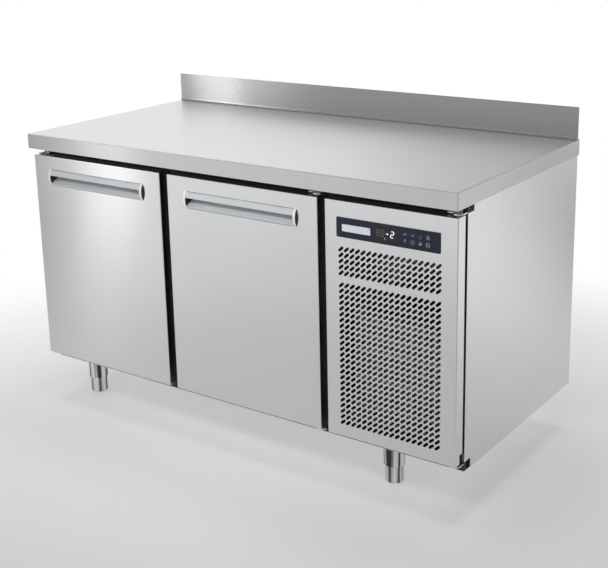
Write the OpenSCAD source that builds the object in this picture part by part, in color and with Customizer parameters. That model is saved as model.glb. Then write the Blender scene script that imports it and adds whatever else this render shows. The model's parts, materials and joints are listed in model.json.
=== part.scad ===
// Undercounter refrigerator: two hinged doors, a hinged service panel, a worktop with an upstand.
// Millimetres. Origin on the floor under the middle of the worktop, +X to the right, -Y to the front.

/* [Overall] */
// Length of the worktop
total_w = 1420; // [1380:10:1600]
// Depth of the worktop
total_d = 700; // [690:10:800]
// Height of the worktop above the floor
worktop_h = 850; // [840:5:900]
// Height of the body's underside above the floor
leg_h = 138; // [132:1:150]

/* [Worktop] */
// Thickness of the worktop at its edge
worktop_t = 43; // [38:1:50]
// Thickness of the worktop's sheet
worktop_sheet = 1.5; // [1:0.1:2.5]
// Height of the upstand above the worktop
upstand_h = 90; // [60:5:120]
// Thickness of the hemmed upstand
upstand_t = 3; // [2:0.5:6]
// Distance of the upstand from the worktop's back edge
upstand_setback = 12; // [5:1:30]
// Radius of the cove at the foot of the upstand
cove_r = 8; // [4:1:12]

/* [Body] */
// Thickness of the outer sheets
sheet_t = 1.2; // [0.8:0.1:1.6]
// Thickness of the inner liner
liner_t = 1; // [0.6:0.1:1.4]
// Distance of the body's sides from the worktop's ends
body_inset = 3; // [2:0.5:4]
// Distance of the body's back from the worktop's back edge
body_back_inset = 4; // [4:0.5:10]
// Thickness of the insulated back wall
back_wall = 50; // [40:1:60]
// Thickness of the front frame
frame_t = 10; // [8:0.5:12]
// Width of the front fold of the side panels
fold_w = 12; // [8:0.5:12]
// Depth of the notches at the right side panel's front corners
notch_d = 31; // [20:1:40]
// Height of the side panels' upper notch
notch_h = 17; // [10:1:18]
// Height of their lower notch
low_notch_h = 26; // [15:1:28]

/* [Doors] */
// Distance of the door fronts behind the worktop's front edge
door_setback = 15; // [12:1:25]
// Thickness of the doors and the service panel at their edges
door_t = 34; // [33:0.5:38]
// Distance of the outer door edges from the worktop's ends
door_inset = 6; // [5:0.5:9]
// Gap above the doors
door_gap_top = 20; // [19:0.5:24]
// Height of the door bottoms above the body's underside
door_gap_bottom = 26; // [25:0.5:32]
// Gap between the two doors
door_gap_mid = 27; // [24:1:40]
// Gap between the right door and the service panel
service_gap = 22; // [18:1:30]
// Thickness of the door skins
skin_t = 1; // [0.7:0.1:1.2]
// Room behind the doors that the turning hinge corner needs
hinge_room = 6.5; // [6:0.5:9]
// Border of the door openings on the hinge side
border_hinge = 52; // [48:1:58]
// Border of the door openings on the other sides
border_free = 36.5; // [35:0.5:42]
// Depth of the raised panel on the inside of each door
plug_d = 14; // [10:0.5:15]
// Clearance between that panel and the opening
plug_clear = 8; // [6:0.5:10]
// Distance of the gasket from the door's edge
gasket_inset = 20; // [16:0.5:21]
// Width of the gasket
gasket_w = 12; // [8:0.5:13]

/* [Handles] */
// Length of a handle with its end caps
handle_w = 370; // [300:5:420]
// Height of a handle
handle_h = 48; // [46:1:56]
// Distance of the handles below the door tops
handle_drop = 39; // [34:1:60]
// Bulge of the handles in front of the doors
handle_bulge = 8; // [6:0.5:10]
// Width of each end cap
cap_w = 8; // [5:0.5:12]
// Height of the lip over the finger pocket
lip_h = 17; // [15:0.5:18]
// Depth of the finger pocket behind the door's front
pocket_d = 26; // [22:0.5:27]
// Height of the pocket's inner wall
pocket_back_h = 10; // [8:0.5:11]
// Wall of the handle around the pocket
handle_wall = 2; // [1.5:0.1:2.4]

/* [Hinges] */
// Distance of a hinge axis from the door's edge
axis_inset = 12; // [10.5:0.5:14]
// Distance of a hinge axis in front of the door's back
axis_depth = 12; // [10.5:0.5:14]
// Diameter of the hinge pins
pin_d = 8; // [6:0.5:9]
// Length of a pin inside the door
pin_l = 12; // [10:0.5:13]
// Outer diameter of the door bushes
bush_d = 18; // [15:0.5:19]
// Length of the door bushes
bush_l = 14; // [13.5:0.5:18]
// Thickness of the hinge brackets
bracket_t = 3; // [2.5:0.1:3.5]
// Width of the hinge brackets from the axis inwards
bracket_w = 28; // [26:1:32]
// Height of the brackets' screwed leg
bracket_leg = 16; // [14:0.5:16]
// Radius of the brackets' rounded nose
bracket_nose = 14; // [11:0.5:14.5]
// Space between a bracket and its door
bracket_gap = 3; // [2:0.5:3.5]
// Shank diameter of the bracket screws
screw_d = 5; // [4:0.5:5.5]
// Head diameter of the bracket screws
screw_head_d = 9; // [8:0.5:10]
// Head height of the bracket screws
screw_head_h = 2.5; // [2:0.1:3]
// Running clearance of pins, shafts and stems, on the radius
run_clear = 0.05; // [0.03:0.01:0.08]

/* [Service panel] */
// Width of the service panel
panel_w = 369; // [360:1:400]
// Border of the frame around the service opening, at the sides
service_border = 15; // [13:0.5:20]
// Border of the frame around the service opening, above and below
service_border_z = 12; // [10:0.5:20]
// Depth of the cut in the panel's side fold at its lower hinge
hinge_cut_d = 14; // [8:0.5:18]
// Height of that cut
hinge_cut_h = 26; // [15:1:40]
// Distance of the fascia from the panel's hinge-free edge
fascia_x = 36; // [30:1:40]
// Width of the fascia
fascia_w = 287.5; // [280:0.5:295]
// Height of the fascia
fascia_h = 50; // [46:1:54]
// Thickness of the fascia
fascia_t = 2.5; // [2:0.1:4]
// Distance of the fascia below the panel's top
fascia_drop = 41.5; // [36:0.5:46]
// Width of the controller behind the fascia
controller_w = 120; // [90:1:150]
// Height of the controller
controller_h = 40; // [30:1:44]
// Depth of the controller
controller_d = 28; // [20:0.5:30]
// Columns of slots
slot_columns = 18; // [14:1:18]
// Rows of slots in the upper block
slot_rows_top = 5; // [3:1:5]
// Rows of slots in the lower block
slot_rows_low = 25; // [18:1:25]
// Distance between slots along a row
slot_pitch_x = 16; // [15.5:0.1:16.4]
// Distance between rows
slot_pitch_z = 15.3; // [14.8:0.1:15.5]
// Length of a slot
slot_l = 17.5; // [10:0.5:18]
// Width of a slot
slot_w = 6.5; // [4:0.5:7]
// Lean of the slots from the horizontal, in degrees
slot_angle = 42; // [30:1:60]
// Distance of the upper block below the fascia
slot_drop = 24; // [20:1:30]
// Gap between the two blocks, from row to row
slot_block_gap = 31.5; // [28:0.5:36]

/* [Feet] */
// Distance of the left feet from the worktop's left end
foot_left = 68; // [60:1:120]
// Distance of the right feet from the worktop's right end
foot_right = 258; // [250:1:275]
// Distance of the front feet from the worktop's front edge
foot_front = 152; // [110:1:180]
// Distance of the rear feet from the worktop's back edge
foot_rear = 100; // [70:1:160]
// Diameter of a foot sleeve at its top
sleeve_d = 60; // [56:1:66]
// Diameter of a foot sleeve at its bottom
sleeve_low_d = 57; // [54:0.5:60]
// Height of the sleeve's bottom above the floor
sleeve_z = 50; // [42:1:55]
// Diameter of the foot below the sleeve
foot_d = 51; // [46:1:54]
// Diameter of the foot's stem
stem_d = 40; // [30:1:42]
// Length of the foot's stem
stem_l = 74; // [60:1:76]
// Width of the square plate on each sleeve
sleeve_plate = 84; // [76:1:90]
// Thickness of that plate
sleeve_plate_t = 3; // [2:0.5:4]
// Rounding of the foot's lower edge
foot_round = 6; // [3:0.5:8]
// Gap between a foot and its sleeve when screwed in
foot_seat = 0.3; // [0.2:0.1:0.5]

/* [Inside] */
// Height of the shelf runners' ledge above the chamber floor
shelf_z = 266; // [200:1:320]
// Diameter of the shelf's frame rod
rod_d = 8; // [6:0.5:9]
// Diameter of the shelf's wires
wire_d = 4; // [3:0.5:5]
// Number of wires across a shelf
wire_count = 17; // [9:1:21]
// Clearance between a shelf and the chamber's front and back
shelf_clear = 24.5; // [15:0.5:60]
// Thickness of the shelf uprights
upright_t = 6; // [4:0.5:7]
// Width of the shelf uprights
upright_w = 22; // [18:1:28]
// Distance of the uprights from the chamber's middle
upright_y = 200; // [150:5:220]
// Distance between an upright's slots
upright_pitch = 60; // [50:5:80]
// Width of the runners' ledge
ledge_w = 20; // [16:1:24]
// Thickness of the runners
runner_t = 1.5; // [1.2:0.1:2]
// Height of the runners
runner_h = 26; // [20:1:32]
// Length of the runners
runner_l = 500; // [450:5:520]
// Width of the evaporator casing between the two bays
casing_w = 91; // [88:1:96]
// Height of the casing's bottom above the chamber floor
casing_z = 30; // [20:1:40]
// Radius of the evaporator fan's opening
evap_fan_r = 82; // [76:1:86]

/* [Condensing unit] */
// Width of the unit tray
unit_w = 350; // [320:5:390]
// Outer radius of the compressor shell
compressor_r = 88; // [80:1:92]
// Height of the compressor shell
compressor_h = 190; // [170:5:210]
// Height of the rubber mounts
mount_h = 14; // [10:1:18]
// Width of the condenser
condenser_w = 290; // [270:5:300]
// Height of the condenser above the unit tray
condenser_h = 335; // [310:5:350]
// Depth of the condenser
condenser_d = 50; // [46:1:54]
// Number of condenser fins
fin_count = 25; // [15:1:29]
// Radius of the condenser fan's opening
fan_hole_r = 120; // [115:1:124]
// Depth of the fan shroud
shroud_d = 32; // [30:1:36]

/* [Hidden] */
$fn = 48;

// Small overlap that lets a cutting shape pass a face
cut = 1;
// Clearance of fixed round fits, on the radius
fit_clear = 0.1;
// Gap between a soft or round piece and what it rests on
rest_gap = 0.3;
// Joint between two profiles of the front frame
frame_joint = 0.2;

steel = "silver";
dark_steel = "dimgray";
black = [0.08, 0.08, 0.09];
foam = "khaki";
copper = "peru";

// Planes of the body
front_y = -total_d / 2;
body_x = total_w / 2 - body_inset;
body_in_x = body_x - sheet_t;
body_top = worktop_h - worktop_t;
floor_in = leg_h + sheet_t;
back_y = total_d / 2 - body_back_inset;
back_in_y = back_y - sheet_t;
door_front = front_y + door_setback;
door_back = door_front + door_t;
body_front = door_back + hinge_room;
frame_front = body_front + sheet_t;
frame_back = frame_front + frame_t;

// Door and panel edges
door_z0 = leg_h + door_gap_bottom;
door_z1 = body_top - door_gap_top;
panel_x1 = total_w / 2 - door_inset;
panel_x0 = panel_x1 - panel_w;
left_x0 = -total_w / 2 + door_inset;
right_x1 = panel_x0 - service_gap;
door_w = (right_x1 - left_x0 - door_gap_mid) / 2;
left_x1 = left_x0 + door_w;
mirror_x = left_x1 + door_gap_mid / 2;

// Chamber behind the doors
open_x0 = left_x0 + border_hinge;
open_x1 = left_x1 - border_free;
chamber_x1 = right_x1 - border_hinge;
chamber_z0 = door_z0 + border_free;
chamber_z1 = door_z1 - border_free;
chamber_y1 = back_y - back_wall;
// Clearance between the unit tray and the walls on both sides of it
unit_side_gap = 11;
// The partition stands behind the panel's edge, or further in where the unit tray needs the room
partition_x = min(panel_x0 - sheet_t, body_in_x - unit_w - 2 * unit_side_gap);
partition_in_x = partition_x - sheet_t;
casing_x0 = mirror_x - casing_w / 2;
casing_x1 = mirror_x + casing_w / 2;
casing_z0 = chamber_z0 + casing_z;
casing_y0 = frame_back + rest_gap;

// Hinges
axis_y = door_back - axis_depth;
left_axis_x = left_x0 + axis_inset;
right_axis_x = right_x1 - axis_inset;
panel_axis_x = panel_x1 - axis_inset;
leg_front = frame_front - bracket_t;
// Distance of the two bracket screws from the hinge axis
screw_x = [6, 21];
// Distance of the bracket leg's outer end from the axis, on the side of the door's edge
leg_out = 2;

// Handle
handle_z1 = door_z1 - handle_drop;
handle_x0 = (left_x0 + left_x1 - handle_w) / 2;
handle_r = (pow(handle_h / 2, 2) + pow(handle_bulge, 2)) / (2 * handle_bulge);
// How far the lip hangs below the top of the handle's housing
lip_hang = 5;
// Height of the handle's edge below the pocket
pocket_edge = 6.5;
housing_top = lip_h - lip_hang;
housing_d = pocket_d + handle_wall;
housing_low = handle_h - handle_wall;
pocket_top = housing_top + handle_wall;
pocket_mid = pocket_top + pocket_back_h;
pocket_low = handle_h - pocket_edge;

// Service panel
fascia_x0 = panel_x0 + fascia_x;
fascia_z1 = door_z1 - fascia_drop;
fascia_z0 = fascia_z1 - fascia_h;
// Distance of the first slot from the fascia's left end
slot_margin = 3.5;
slot_reach = (slot_l - slot_w) / 2;
slot_top_z = fascia_z0 - slot_drop - slot_w / 2 - slot_reach * sin(slot_angle);
slot_low_z = slot_top_z - (slot_rows_top - 1) * slot_pitch_z - slot_block_gap;
slot_x0 = fascia_x0 + slot_margin + slot_w / 2 + slot_reach * cos(slot_angle);
controller_x = (fascia_x0 * 2 + fascia_w - controller_w) / 2;
controller_z = (fascia_z0 + fascia_z1 - controller_h) / 2;

// Condensing unit: its tray, which stands clear of the walls round it, and the condenser on it
unit_front_gap = 10;
unit_back_gap = 20;
unit_x = (partition_x + body_in_x) / 2;
unit_t = 2;
unit_top = floor_in + unit_t;
unit_y0 = frame_back + unit_front_gap;
unit_y1 = back_in_y - unit_back_gap;
unit_lip = 20;
cond_front_gap = 15;
cond_y0 = unit_y0 + cond_front_gap;
cond_y1 = cond_y0 + condenser_d;
cond_x0 = unit_x - condenser_w / 2;
cond_x1 = unit_x + condenser_w / 2;
cond_z1 = unit_top + condenser_h;
cond_plate = 2;
shroud_y1 = cond_y1 + shroud_d;
fan_z = unit_top + condenser_h / 2;

// Fan, its motor and the motor's bracket
fan_sink = 2;
fan_tip_gap = 10;
fan_hub_y0 = shroud_y1 - fan_sink;
fan_hub_l = 28;
fan_hub_r = 30;
fan_r = fan_hole_r - fan_tip_gap;
fan_blades = 5;
fan_pitch = 30;
blade_t = 2;
shaft_r = 4;
// Distance of the shaft's end behind the front of the fan's hub
shaft_start = 4;
motor_gap = 10;
motor_y0 = fan_hub_y0 + fan_hub_l + motor_gap;
motor_l = 70;
motor_r = 45;
arm_back = 18;
arm_y = motor_y0 + arm_back;
arm_w = 24;
arm_reach = 12;
arm_ring = 10;

// Compressor, the box on its side and its mounts
compressor_back_gap = 62;
compressor_y = unit_y1 - compressor_back_gap - compressor_r;
compressor_z = unit_top + mount_h;
mount_x = 82;
mount_y = 62;
mount_r = 13;
plate_t = 3;
plate_edge = 20;
shell_z = compressor_z + plate_t;
terminal_size = [70, 60, 60];
terminal_out = 25;
terminal_rise = 60;

// Copper lines and filter drier
pipe_r = 4;
elbow_r = 5;
drier_gap = 90;
drier_y = shroud_y1 + drier_gap;
drier_r = 19;
drier_x = partition_x + drier_r + rest_gap;
drier_rise = 120;
drier_z0 = unit_top + drier_rise;
drier_l = 130;
drier_neck = 14;
line_drop = 30;
line_z = cond_z1 - line_drop;
// Depth of the lines' ends in the insulated partition
line_sink = 18;
// Compressor stubs: distance from its middle, and height above the plate
stub_x = 68;
stub_z = shell_z + compressor_h;
stub_r = 6;

// Condenser tubes and fins: tube ends beyond the end plates, rows, and gaps at the edges
tube_end = 6;
tube_rows = 8;
tube_edge = 14;
tube_r = 5;
fin_t = 1;
fin_inset = 3;
fin_low_gap = 20;
fin_top_gap = 5;
row_edge = 20;
fin_z = [unit_top + fin_low_gap, cond_z1 - fin_top_gap];
row_z = [fin_z[0] + row_edge, fin_z[1] - row_edge];

// Evaporator: the fan stands behind the front uprights, the tray and coil behind the fan
chamber_y = (frame_back + chamber_y1) / 2;
evap_upright_gap = 6;
evap_rise = 40;
evap_y = chamber_y - upright_y + upright_w / 2 + evap_upright_gap + evap_fan_r;
evap_z = (chamber_z0 + chamber_z1) / 2 + evap_rise;
evap_motor_r = 34;
evap_motor_l = 34;
evap_hub_r = 24;
evap_hub_l = 26;
evap_shaft_l = 24;
evap_tip_gap = 6;
evap_pitch = 35;
tray_back = 75;
tray_l = 270;
tray_y = [evap_y + tray_back, evap_y + tray_back + tray_l];
tray_rise = 60;
tray_z = casing_z0 + tray_rise;
tray_h = 22;
coil_top_gap = 60;
coil_z1 = chamber_z1 - coil_top_gap;
drain_r = 9;
drain_y = (tray_y[0] + tray_y[1]) / 2;
drain_reach = 8;

// Electrical box on the partition
electrical_size = [90, 200, 150];
electrical_back = 120;
electrical_drop = 40;

// Feet as [x, y]
foot_x = [-total_w / 2 + foot_left, total_w / 2 - foot_right];
foot_y = [front_y + foot_front, total_d / 2 - foot_rear];

// A box between two values on each axis
module span(x, y, z) {
    translate([x[0], y[0], z[0]])
        cube([x[1] - x[0], y[1] - y[0], z[1] - z[0]]);
}

// A flat outline in Y and Z, drawn out along X
module along_x(x0, length) {
    translate([x0, 0, 0])
        rotate([90, 0, 90])
            linear_extrude(length)
                children();
}

// A cylinder along Y that starts at y0
module rod_y(x, y0, z, length, r) {
    translate([x, y0, z])
        rotate([-90, 0, 0])
            cylinder(h = length, r = r);
}

// A cylinder along X that starts at x0
module rod_x(x0, y, z, length, r) {
    translate([x0, y, z])
        rotate([0, 90, 0])
            cylinder(h = length, r = r);
}

// A copy of a left door piece on the right door
module on_right_door() {
    translate([2 * mirror_x, 0, 0])
        mirror([1, 0, 0])
            children();
}

// Worktop and upstand

// Wall of the upstand, and where its cove leaves the worktop
wall_y1 = total_d / 2 - upstand_setback;
wall_y0 = wall_y1 - upstand_t;
cove_y = wall_y0 - cove_r;

module worktop() {
    half = total_w / 2;
    color(steel)
        difference() {
            span([-half, half], [front_y, -front_y], [body_top, worktop_h]);
            worktop_hollow(cut);
            span([-half - cut, half + cut], [cove_y, -front_y + cut],
                [worktop_h - worktop_sheet, worktop_h + cut]);
        }
}

module worktop_hollow(below) {
    half_in = total_w / 2 - worktop_sheet;
    back_in = -front_y - worktop_sheet;
    span([-half_in, half_in], [-back_in, back_in], [body_top - below, worktop_h - worktop_sheet]);
}

module worktop_core() {
    color("burlywood")
        worktop_hollow(0);
}

// Points of a quarter round from its flat end to its upright end, with its corner at [x, 0]
arc_steps = 6;
function quarter_round(x, r) = [for (i = [0:arc_steps]) let (turn = i * 90 / arc_steps)
    [x - r * (1 - sin(turn)), r * (1 - cos(turn))]];

// The upstand's foot is the rear strip of the worktop's sheet
module upstand() {
    foot = -worktop_sheet;
    color(steel)
        along_x(-total_w / 2, total_w)
            translate([0, worktop_h])
                polygon(concat([[cove_y, foot]], quarter_round(wall_y0, cove_r),
                    [[wall_y0, upstand_h], [wall_y1, upstand_h], [wall_y1, 0], [-front_y, 0],
                        [-front_y, foot]]));
}

// Outer sheets of the body

// A right-hand side panel, with a notch of the given depth at both front corners
module side_panel(depth) {
    notch_x = [body_x - fold_w - cut, body_x + cut];
    notch_y = [body_front - cut, body_front + depth];
    difference() {
        union() {
            span([body_in_x, body_x], [body_front, back_y], [leg_h, body_top]);
            span([body_x - fold_w, body_in_x], [body_front, frame_front], [leg_h, body_top]);
        }
        span(notch_x, notch_y, [body_top - notch_h, body_top + cut]);
        span(notch_x, notch_y, [leg_h - cut, leg_h + low_notch_h]);
    }
}

module left_side_panel() {
    color(steel)
        mirror([1, 0, 0])
            side_panel(frame_back - body_front);
}

module right_side_panel() {
    color(steel)
        side_panel(notch_d);
}

module back_panel() {
    vent_rows = 9;
    vent_pitch = 22;
    vent_w = 220;
    vent_h = 8;
    color(steel)
        difference() {
            span([-body_in_x, body_in_x], [back_in_y, back_y], [leg_h, body_top]);
            for (i = [0:vent_rows - 1])
                translate([unit_x - vent_w / 2, back_in_y - cut, cond_z1 + i * vent_pitch])
                    cube([vent_w, sheet_t + 2 * cut, vent_h]);
            gland_hole(back_in_y - cut, sheet_t + 2 * cut, gland_shank_r + fit_clear);
        }
}

module base_panel() {
    color(steel)
        difference() {
            span([-body_in_x, body_in_x], [frame_front, back_in_y], [leg_h, floor_in]);
            drain_hole();
        }
}

module partition_panel() {
    color(steel)
        difference() {
            span([partition_in_x, partition_x], [frame_back, back_in_y], [floor_in, body_top]);
            line_holes(cut);
        }
}

// Insulation: five slabs that meet face to face

slab_x = [-body_in_x, partition_in_x];
slab_y = [frame_back, back_in_y];
wall_z = [chamber_z0 - liner_t, chamber_z1 + liner_t];

module insulation_floor() {
    color(foam)
        difference() {
            span(slab_x, slab_y, [floor_in, wall_z[0]]);
            drain_hole();
        }
}

module insulation_ceiling() {
    color(foam)
        span(slab_x, slab_y, [wall_z[1], body_top]);
}

module insulation_left() {
    color(foam)
        span([slab_x[0], open_x0 - liner_t], slab_y, wall_z);
}

module insulation_partition() {
    color(foam)
        difference() {
            span([chamber_x1 + liner_t, slab_x[1]], slab_y, wall_z);
            line_holes(line_sink + rest_gap);
        }
}

// Holes for the lines, from the unit's side of the partition to a depth behind its sheet
module line_holes(depth) {
    for (y = line_ports)
        rod_x(partition_in_x - depth, y, line_z, depth + sheet_t + cut, pipe_r + rest_gap);
}

module insulation_back() {
    color(foam)
        span([open_x0 - liner_t, chamber_x1 + liner_t], [chamber_y1 + liner_t, back_in_y], wall_z);
}

module inner_liner() {
    color(steel)
        difference() {
            span([open_x0 - liner_t, chamber_x1 + liner_t], [frame_back, chamber_y1 + liner_t], wall_z);
            span([open_x0, chamber_x1], [frame_back - cut, chamber_y1], [chamber_z0, chamber_z1]);
            drain_hole();
        }
}

module drain_hole() {
    translate([mirror_x, drain_y, leg_h - cut])
        cylinder(h = chamber_z0 - leg_h + 2 * cut, r = drain_r + fit_clear);
}

// Front frame: black profiles, butted with fine joints, round the door openings and the service opening

service_x = [panel_x0 + service_border, panel_x1 - service_border];
service_z = [door_z0 + service_border_z, door_z1 - service_border_z];

module front_frame() {
    color(black)
        difference() {
            union() {
                frame_rails([-body_in_x, service_x[0] - frame_joint], [chamber_z0, chamber_z1]);
                frame_rails([service_x[0], body_in_x], service_z);
                frame_post([-body_in_x, open_x0], [chamber_z0, chamber_z1]);
                frame_post([open_x1, 2 * mirror_x - open_x1], [chamber_z0, chamber_z1]);
                frame_post([chamber_x1, service_x[0] - frame_joint], [chamber_z0, chamber_z1]);
                frame_post([service_x[1], body_in_x], service_z);
            }
            at_brackets()
                bracket_screw_holes();
        }
}

// The profiles below and above an opening
module frame_rails(x, opening_z) {
    span(x, [frame_front, frame_back], [floor_in, opening_z[0]]);
    span(x, [frame_front, frame_back], [opening_z[1], body_top]);
}

// A profile beside an opening, with a fine joint at both ends
module frame_post(x, opening_z) {
    span(x, [frame_front, frame_back], [opening_z[0] + frame_joint, opening_z[1] - frame_joint]);
}

// Hinge brackets, one pair for each door and for the service panel

// Places a lower bracket's shape at all six hinges, with the axis at the origin
module at_brackets() {
    for (hinge = [[left_axis_x, 0], [right_axis_x, 1], [panel_axis_x, 1]])
        for (top = [0, 1])
            translate([hinge[0], 0, top == 1 ? door_z1 : door_z0])
                mirror([hinge[1], 0, 0])
                    mirror([0, 0, top])
                        children();
}

module hinge_bracket() {
    plate_z = [-bracket_gap - bracket_t, -bracket_gap];
    difference() {
        union() {
            translate([0, axis_y, plate_z[0]])
                cylinder(h = bracket_t, r = bracket_nose);
            span([-bracket_nose, bracket_w], [axis_y, leg_front], plate_z);
            span([-leg_out, bracket_w], [leg_front, frame_front], [-bracket_gap - bracket_leg, -bracket_gap]);
            translate([0, axis_y, plate_z[0]])
                cylinder(h = bracket_t + bracket_gap + pin_l, r = pin_d / 2);
        }
        bracket_screw_holes();
    }
}

module hinge_brackets() {
    color(steel)
        at_brackets()
            hinge_bracket();
}

screw_z = -bracket_gap - bracket_t - (bracket_leg - bracket_t) / 2;

module bracket_screw_holes() {
    for (x = screw_x)
        rod_y(x, leg_front - cut, screw_z, bracket_t + frame_t + 2 * cut, screw_d / 2 + fit_clear);
}

module bracket_screws() {
    head_y = leg_front - screw_head_h;
    color(steel)
        at_brackets()
            for (x = screw_x)
                union() {
                    rod_y(x, head_y, screw_z, screw_head_h, screw_head_d / 2);
                    rod_y(x, head_y, screw_z, screw_head_h + bracket_t + frame_t, screw_d / 2);
                }
}

// Doors: the left door is drawn, the right door is its mirror image

door_x = [left_x0, left_x1];
door_z = [door_z0, door_z1];
plug_x = [open_x0 + plug_clear, open_x1 - plug_clear];
plug_z = [chamber_z0 + plug_clear, chamber_z1 - plug_clear];

// Both bush places of the left door, with the bush's open end at the origin and its body above it
module at_bushes() {
    for (top = [0, 1])
        translate([left_axis_x, axis_y, top == 1 ? door_z1 : door_z0])
            mirror([0, 0, top])
                children();
}

module bush_pockets() {
    at_bushes()
        translate([0, 0, -cut])
            cylinder(h = bush_l + cut, r = bush_d / 2 + fit_clear);
}

// Space in the door for the handle behind the door's front
module handle_recess() {
    translate([0, 0, handle_z1])
        span([handle_x0 - fit_clear, handle_x0 + handle_w + fit_clear],
            [door_front - cut, door_front + housing_d + fit_clear],
            [-housing_low - fit_clear, -housing_top + fit_clear]);
}

module door_skin() {
    color(steel)
        difference() {
            span(door_x, [door_front, door_back - liner_t], door_z);
            span([door_x[0] + skin_t, door_x[1] - skin_t], [door_front + skin_t, door_back],
                [door_z[0] + skin_t, door_z[1] - skin_t]);
            handle_recess();
            bush_pockets();
        }
}

module door_foam() {
    color(foam)
        difference() {
            union() {
                span([door_x[0] + skin_t, door_x[1] - skin_t], [door_front + skin_t, door_back - liner_t],
                    [door_z[0] + skin_t, door_z[1] - skin_t]);
                plug_filling(door_back - liner_t);
            }
            handle_recess();
            bush_pockets();
        }
}

module plug_filling(y0) {
    span([plug_x[0] + liner_t, plug_x[1] - liner_t], [y0, door_back + plug_d - liner_t],
        [plug_z[0] + liner_t, plug_z[1] - liner_t]);
}

module door_liner() {
    color(steel)
        difference() {
            union() {
                span(door_x, [door_back - liner_t, door_back], door_z);
                span(plug_x, [door_back, door_back + plug_d], plug_z);
            }
            plug_filling(door_back - liner_t - cut);
        }
}

module door_gasket() {
    inner = gasket_inset + gasket_w;
    color(dark_steel)
        difference() {
            span([door_x[0] + gasket_inset, door_x[1] - gasket_inset], [door_back, frame_front - rest_gap],
                [door_z[0] + gasket_inset, door_z[1] - gasket_inset]);
            span([door_x[0] + inner, door_x[1] - inner], [door_back - cut, frame_front],
                [door_z[0] + inner, door_z[1] - inner]);
        }
}

// The handle's bulging front in depth and height, from the door's front and the handle's top
module handle_bow() {
    intersection() {
        translate([handle_r - handle_bulge, -handle_h / 2])
            circle(r = handle_r, $fn = 96);
        translate([-handle_bulge - cut, -handle_h])
            square([handle_bulge + cut, handle_h]);
    }
}

// The part of the handle behind the door's front
module handle_housing() {
    polygon([[0, -housing_top], [housing_d, -housing_top], [housing_d, -pocket_mid - handle_wall],
        [0, -housing_low]]);
}

module handle_pocket() {
    mouth = handle_bulge + cut;
    polygon([[-mouth, -lip_h], [handle_wall, -lip_h], [handle_wall, -pocket_top], [pocket_d, -pocket_top],
        [pocket_d, -pocket_mid], [-handle_bulge / 2, -pocket_low], [-mouth, -pocket_low - cut]]);
}

// A solid stretch of the handle's outline
module handle_bar(x0, length) {
    translate([0, door_front, handle_z1])
        union() {
            along_x(x0, length)
                handle_bow();
            along_x(x0, length)
                handle_housing();
        }
}

module door_handle() {
    color(steel)
        difference() {
            handle_bar(handle_x0 + cap_w, handle_w - 2 * cap_w);
            translate([0, door_front, handle_z1])
                along_x(handle_x0, handle_w)
                    handle_pocket();
        }
}

module door_handle_caps() {
    color("gainsboro")
        for (x = [handle_x0, handle_x0 + handle_w - cap_w])
            handle_bar(x, cap_w);
}

module door_bushes() {
    color("white")
        at_bushes()
            difference() {
                cylinder(h = bush_l, r = bush_d / 2);
                translate([0, 0, -cut])
                    cylinder(h = bush_l + 2 * cut, r = pin_d / 2 + run_clear);
            }
}

module left_door_skin() door_skin();
module left_door_foam() door_foam();
module left_door_liner() door_liner();
module left_door_gasket() door_gasket();
module left_door_handle() door_handle();
module left_door_handle_caps() door_handle_caps();
module left_door_bushes() door_bushes();
module right_door_skin() on_right_door() door_skin();
module right_door_foam() on_right_door() door_foam();
module right_door_liner() on_right_door() door_liner();
module right_door_gasket() on_right_door() door_gasket();
module right_door_handle() on_right_door() door_handle();
module right_door_handle_caps() on_right_door() door_handle_caps();
module right_door_bushes() on_right_door() door_bushes();

// Service panel: a folded tray with slanted slots, the fascia and the controller

// Outline of one slot, with each end drawn in two straight strokes
function slot_points() = [for (side = [0, 180]) for (turn = [-90, 0, 90])
    [(side == 0 ? slot_reach : -slot_reach) + slot_w / 2 * cos(side + turn), slot_w / 2 * sin(side + turn)]];

module slot_block(z, rows) {
    for (row = [0:rows - 1])
        for (column = [0:slot_columns - 1])
            translate([slot_x0 + column * slot_pitch_x, z - row * slot_pitch_z])
                rotate(slot_angle)
                    polygon(slot_points());
}

module service_panel() {
    color(steel)
        difference() {
            union() {
                translate([0, door_front + sheet_t, 0])
                    rotate([90, 0, 0])
                        linear_extrude(sheet_t)
                            service_face();
                difference() {
                    span([panel_x0, panel_x1], [door_front + sheet_t, door_back], door_z);
                    span([panel_x0 + sheet_t, panel_x1 - sheet_t], [door_front, door_back + cut],
                        [door_z0 + sheet_t, door_z1 - sheet_t]);
                }
            }
            translate([panel_axis_x, axis_y, door_z0 - cut])
                cylinder(h = door_z1 - door_z0 + 2 * cut, r = pin_d / 2 + run_clear);
            span([panel_x1 - sheet_t - cut, panel_x1 + cut], [door_back - hinge_cut_d, door_back + cut],
                [door_z0 + sheet_t, door_z0 + hinge_cut_h]);
        }
}

module service_face() {
    difference() {
        translate([panel_x0, door_z0])
            square([panel_w, door_z1 - door_z0]);
        slot_block(slot_top_z, slot_rows_top);
        slot_block(slot_low_z, slot_rows_low);
    }
}

module control_fascia() {
    color([0.12, 0.13, 0.18])
        span([fascia_x0, fascia_x0 + fascia_w], [door_front - fascia_t, door_front], [fascia_z0, fascia_z1]);
}

module controller() {
    color(black)
        translate([controller_x, door_front + sheet_t, controller_z])
            cube([controller_w, controller_d, controller_h]);
}

// Shelves and what carries them

bay_x = [open_x0, casing_x0];
shelf_rest = 2;
shelf_x = [bay_x[0] + upright_t + shelf_rest, bay_x[1] - upright_t - shelf_rest];
ledge_z = chamber_z0 + shelf_z;
upright_end_gap = 30;
upright_z = [chamber_z0 + upright_end_gap, chamber_z1 - upright_end_gap];
shelf_d = chamber_y1 - frame_back - 2 * shelf_clear;

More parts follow.
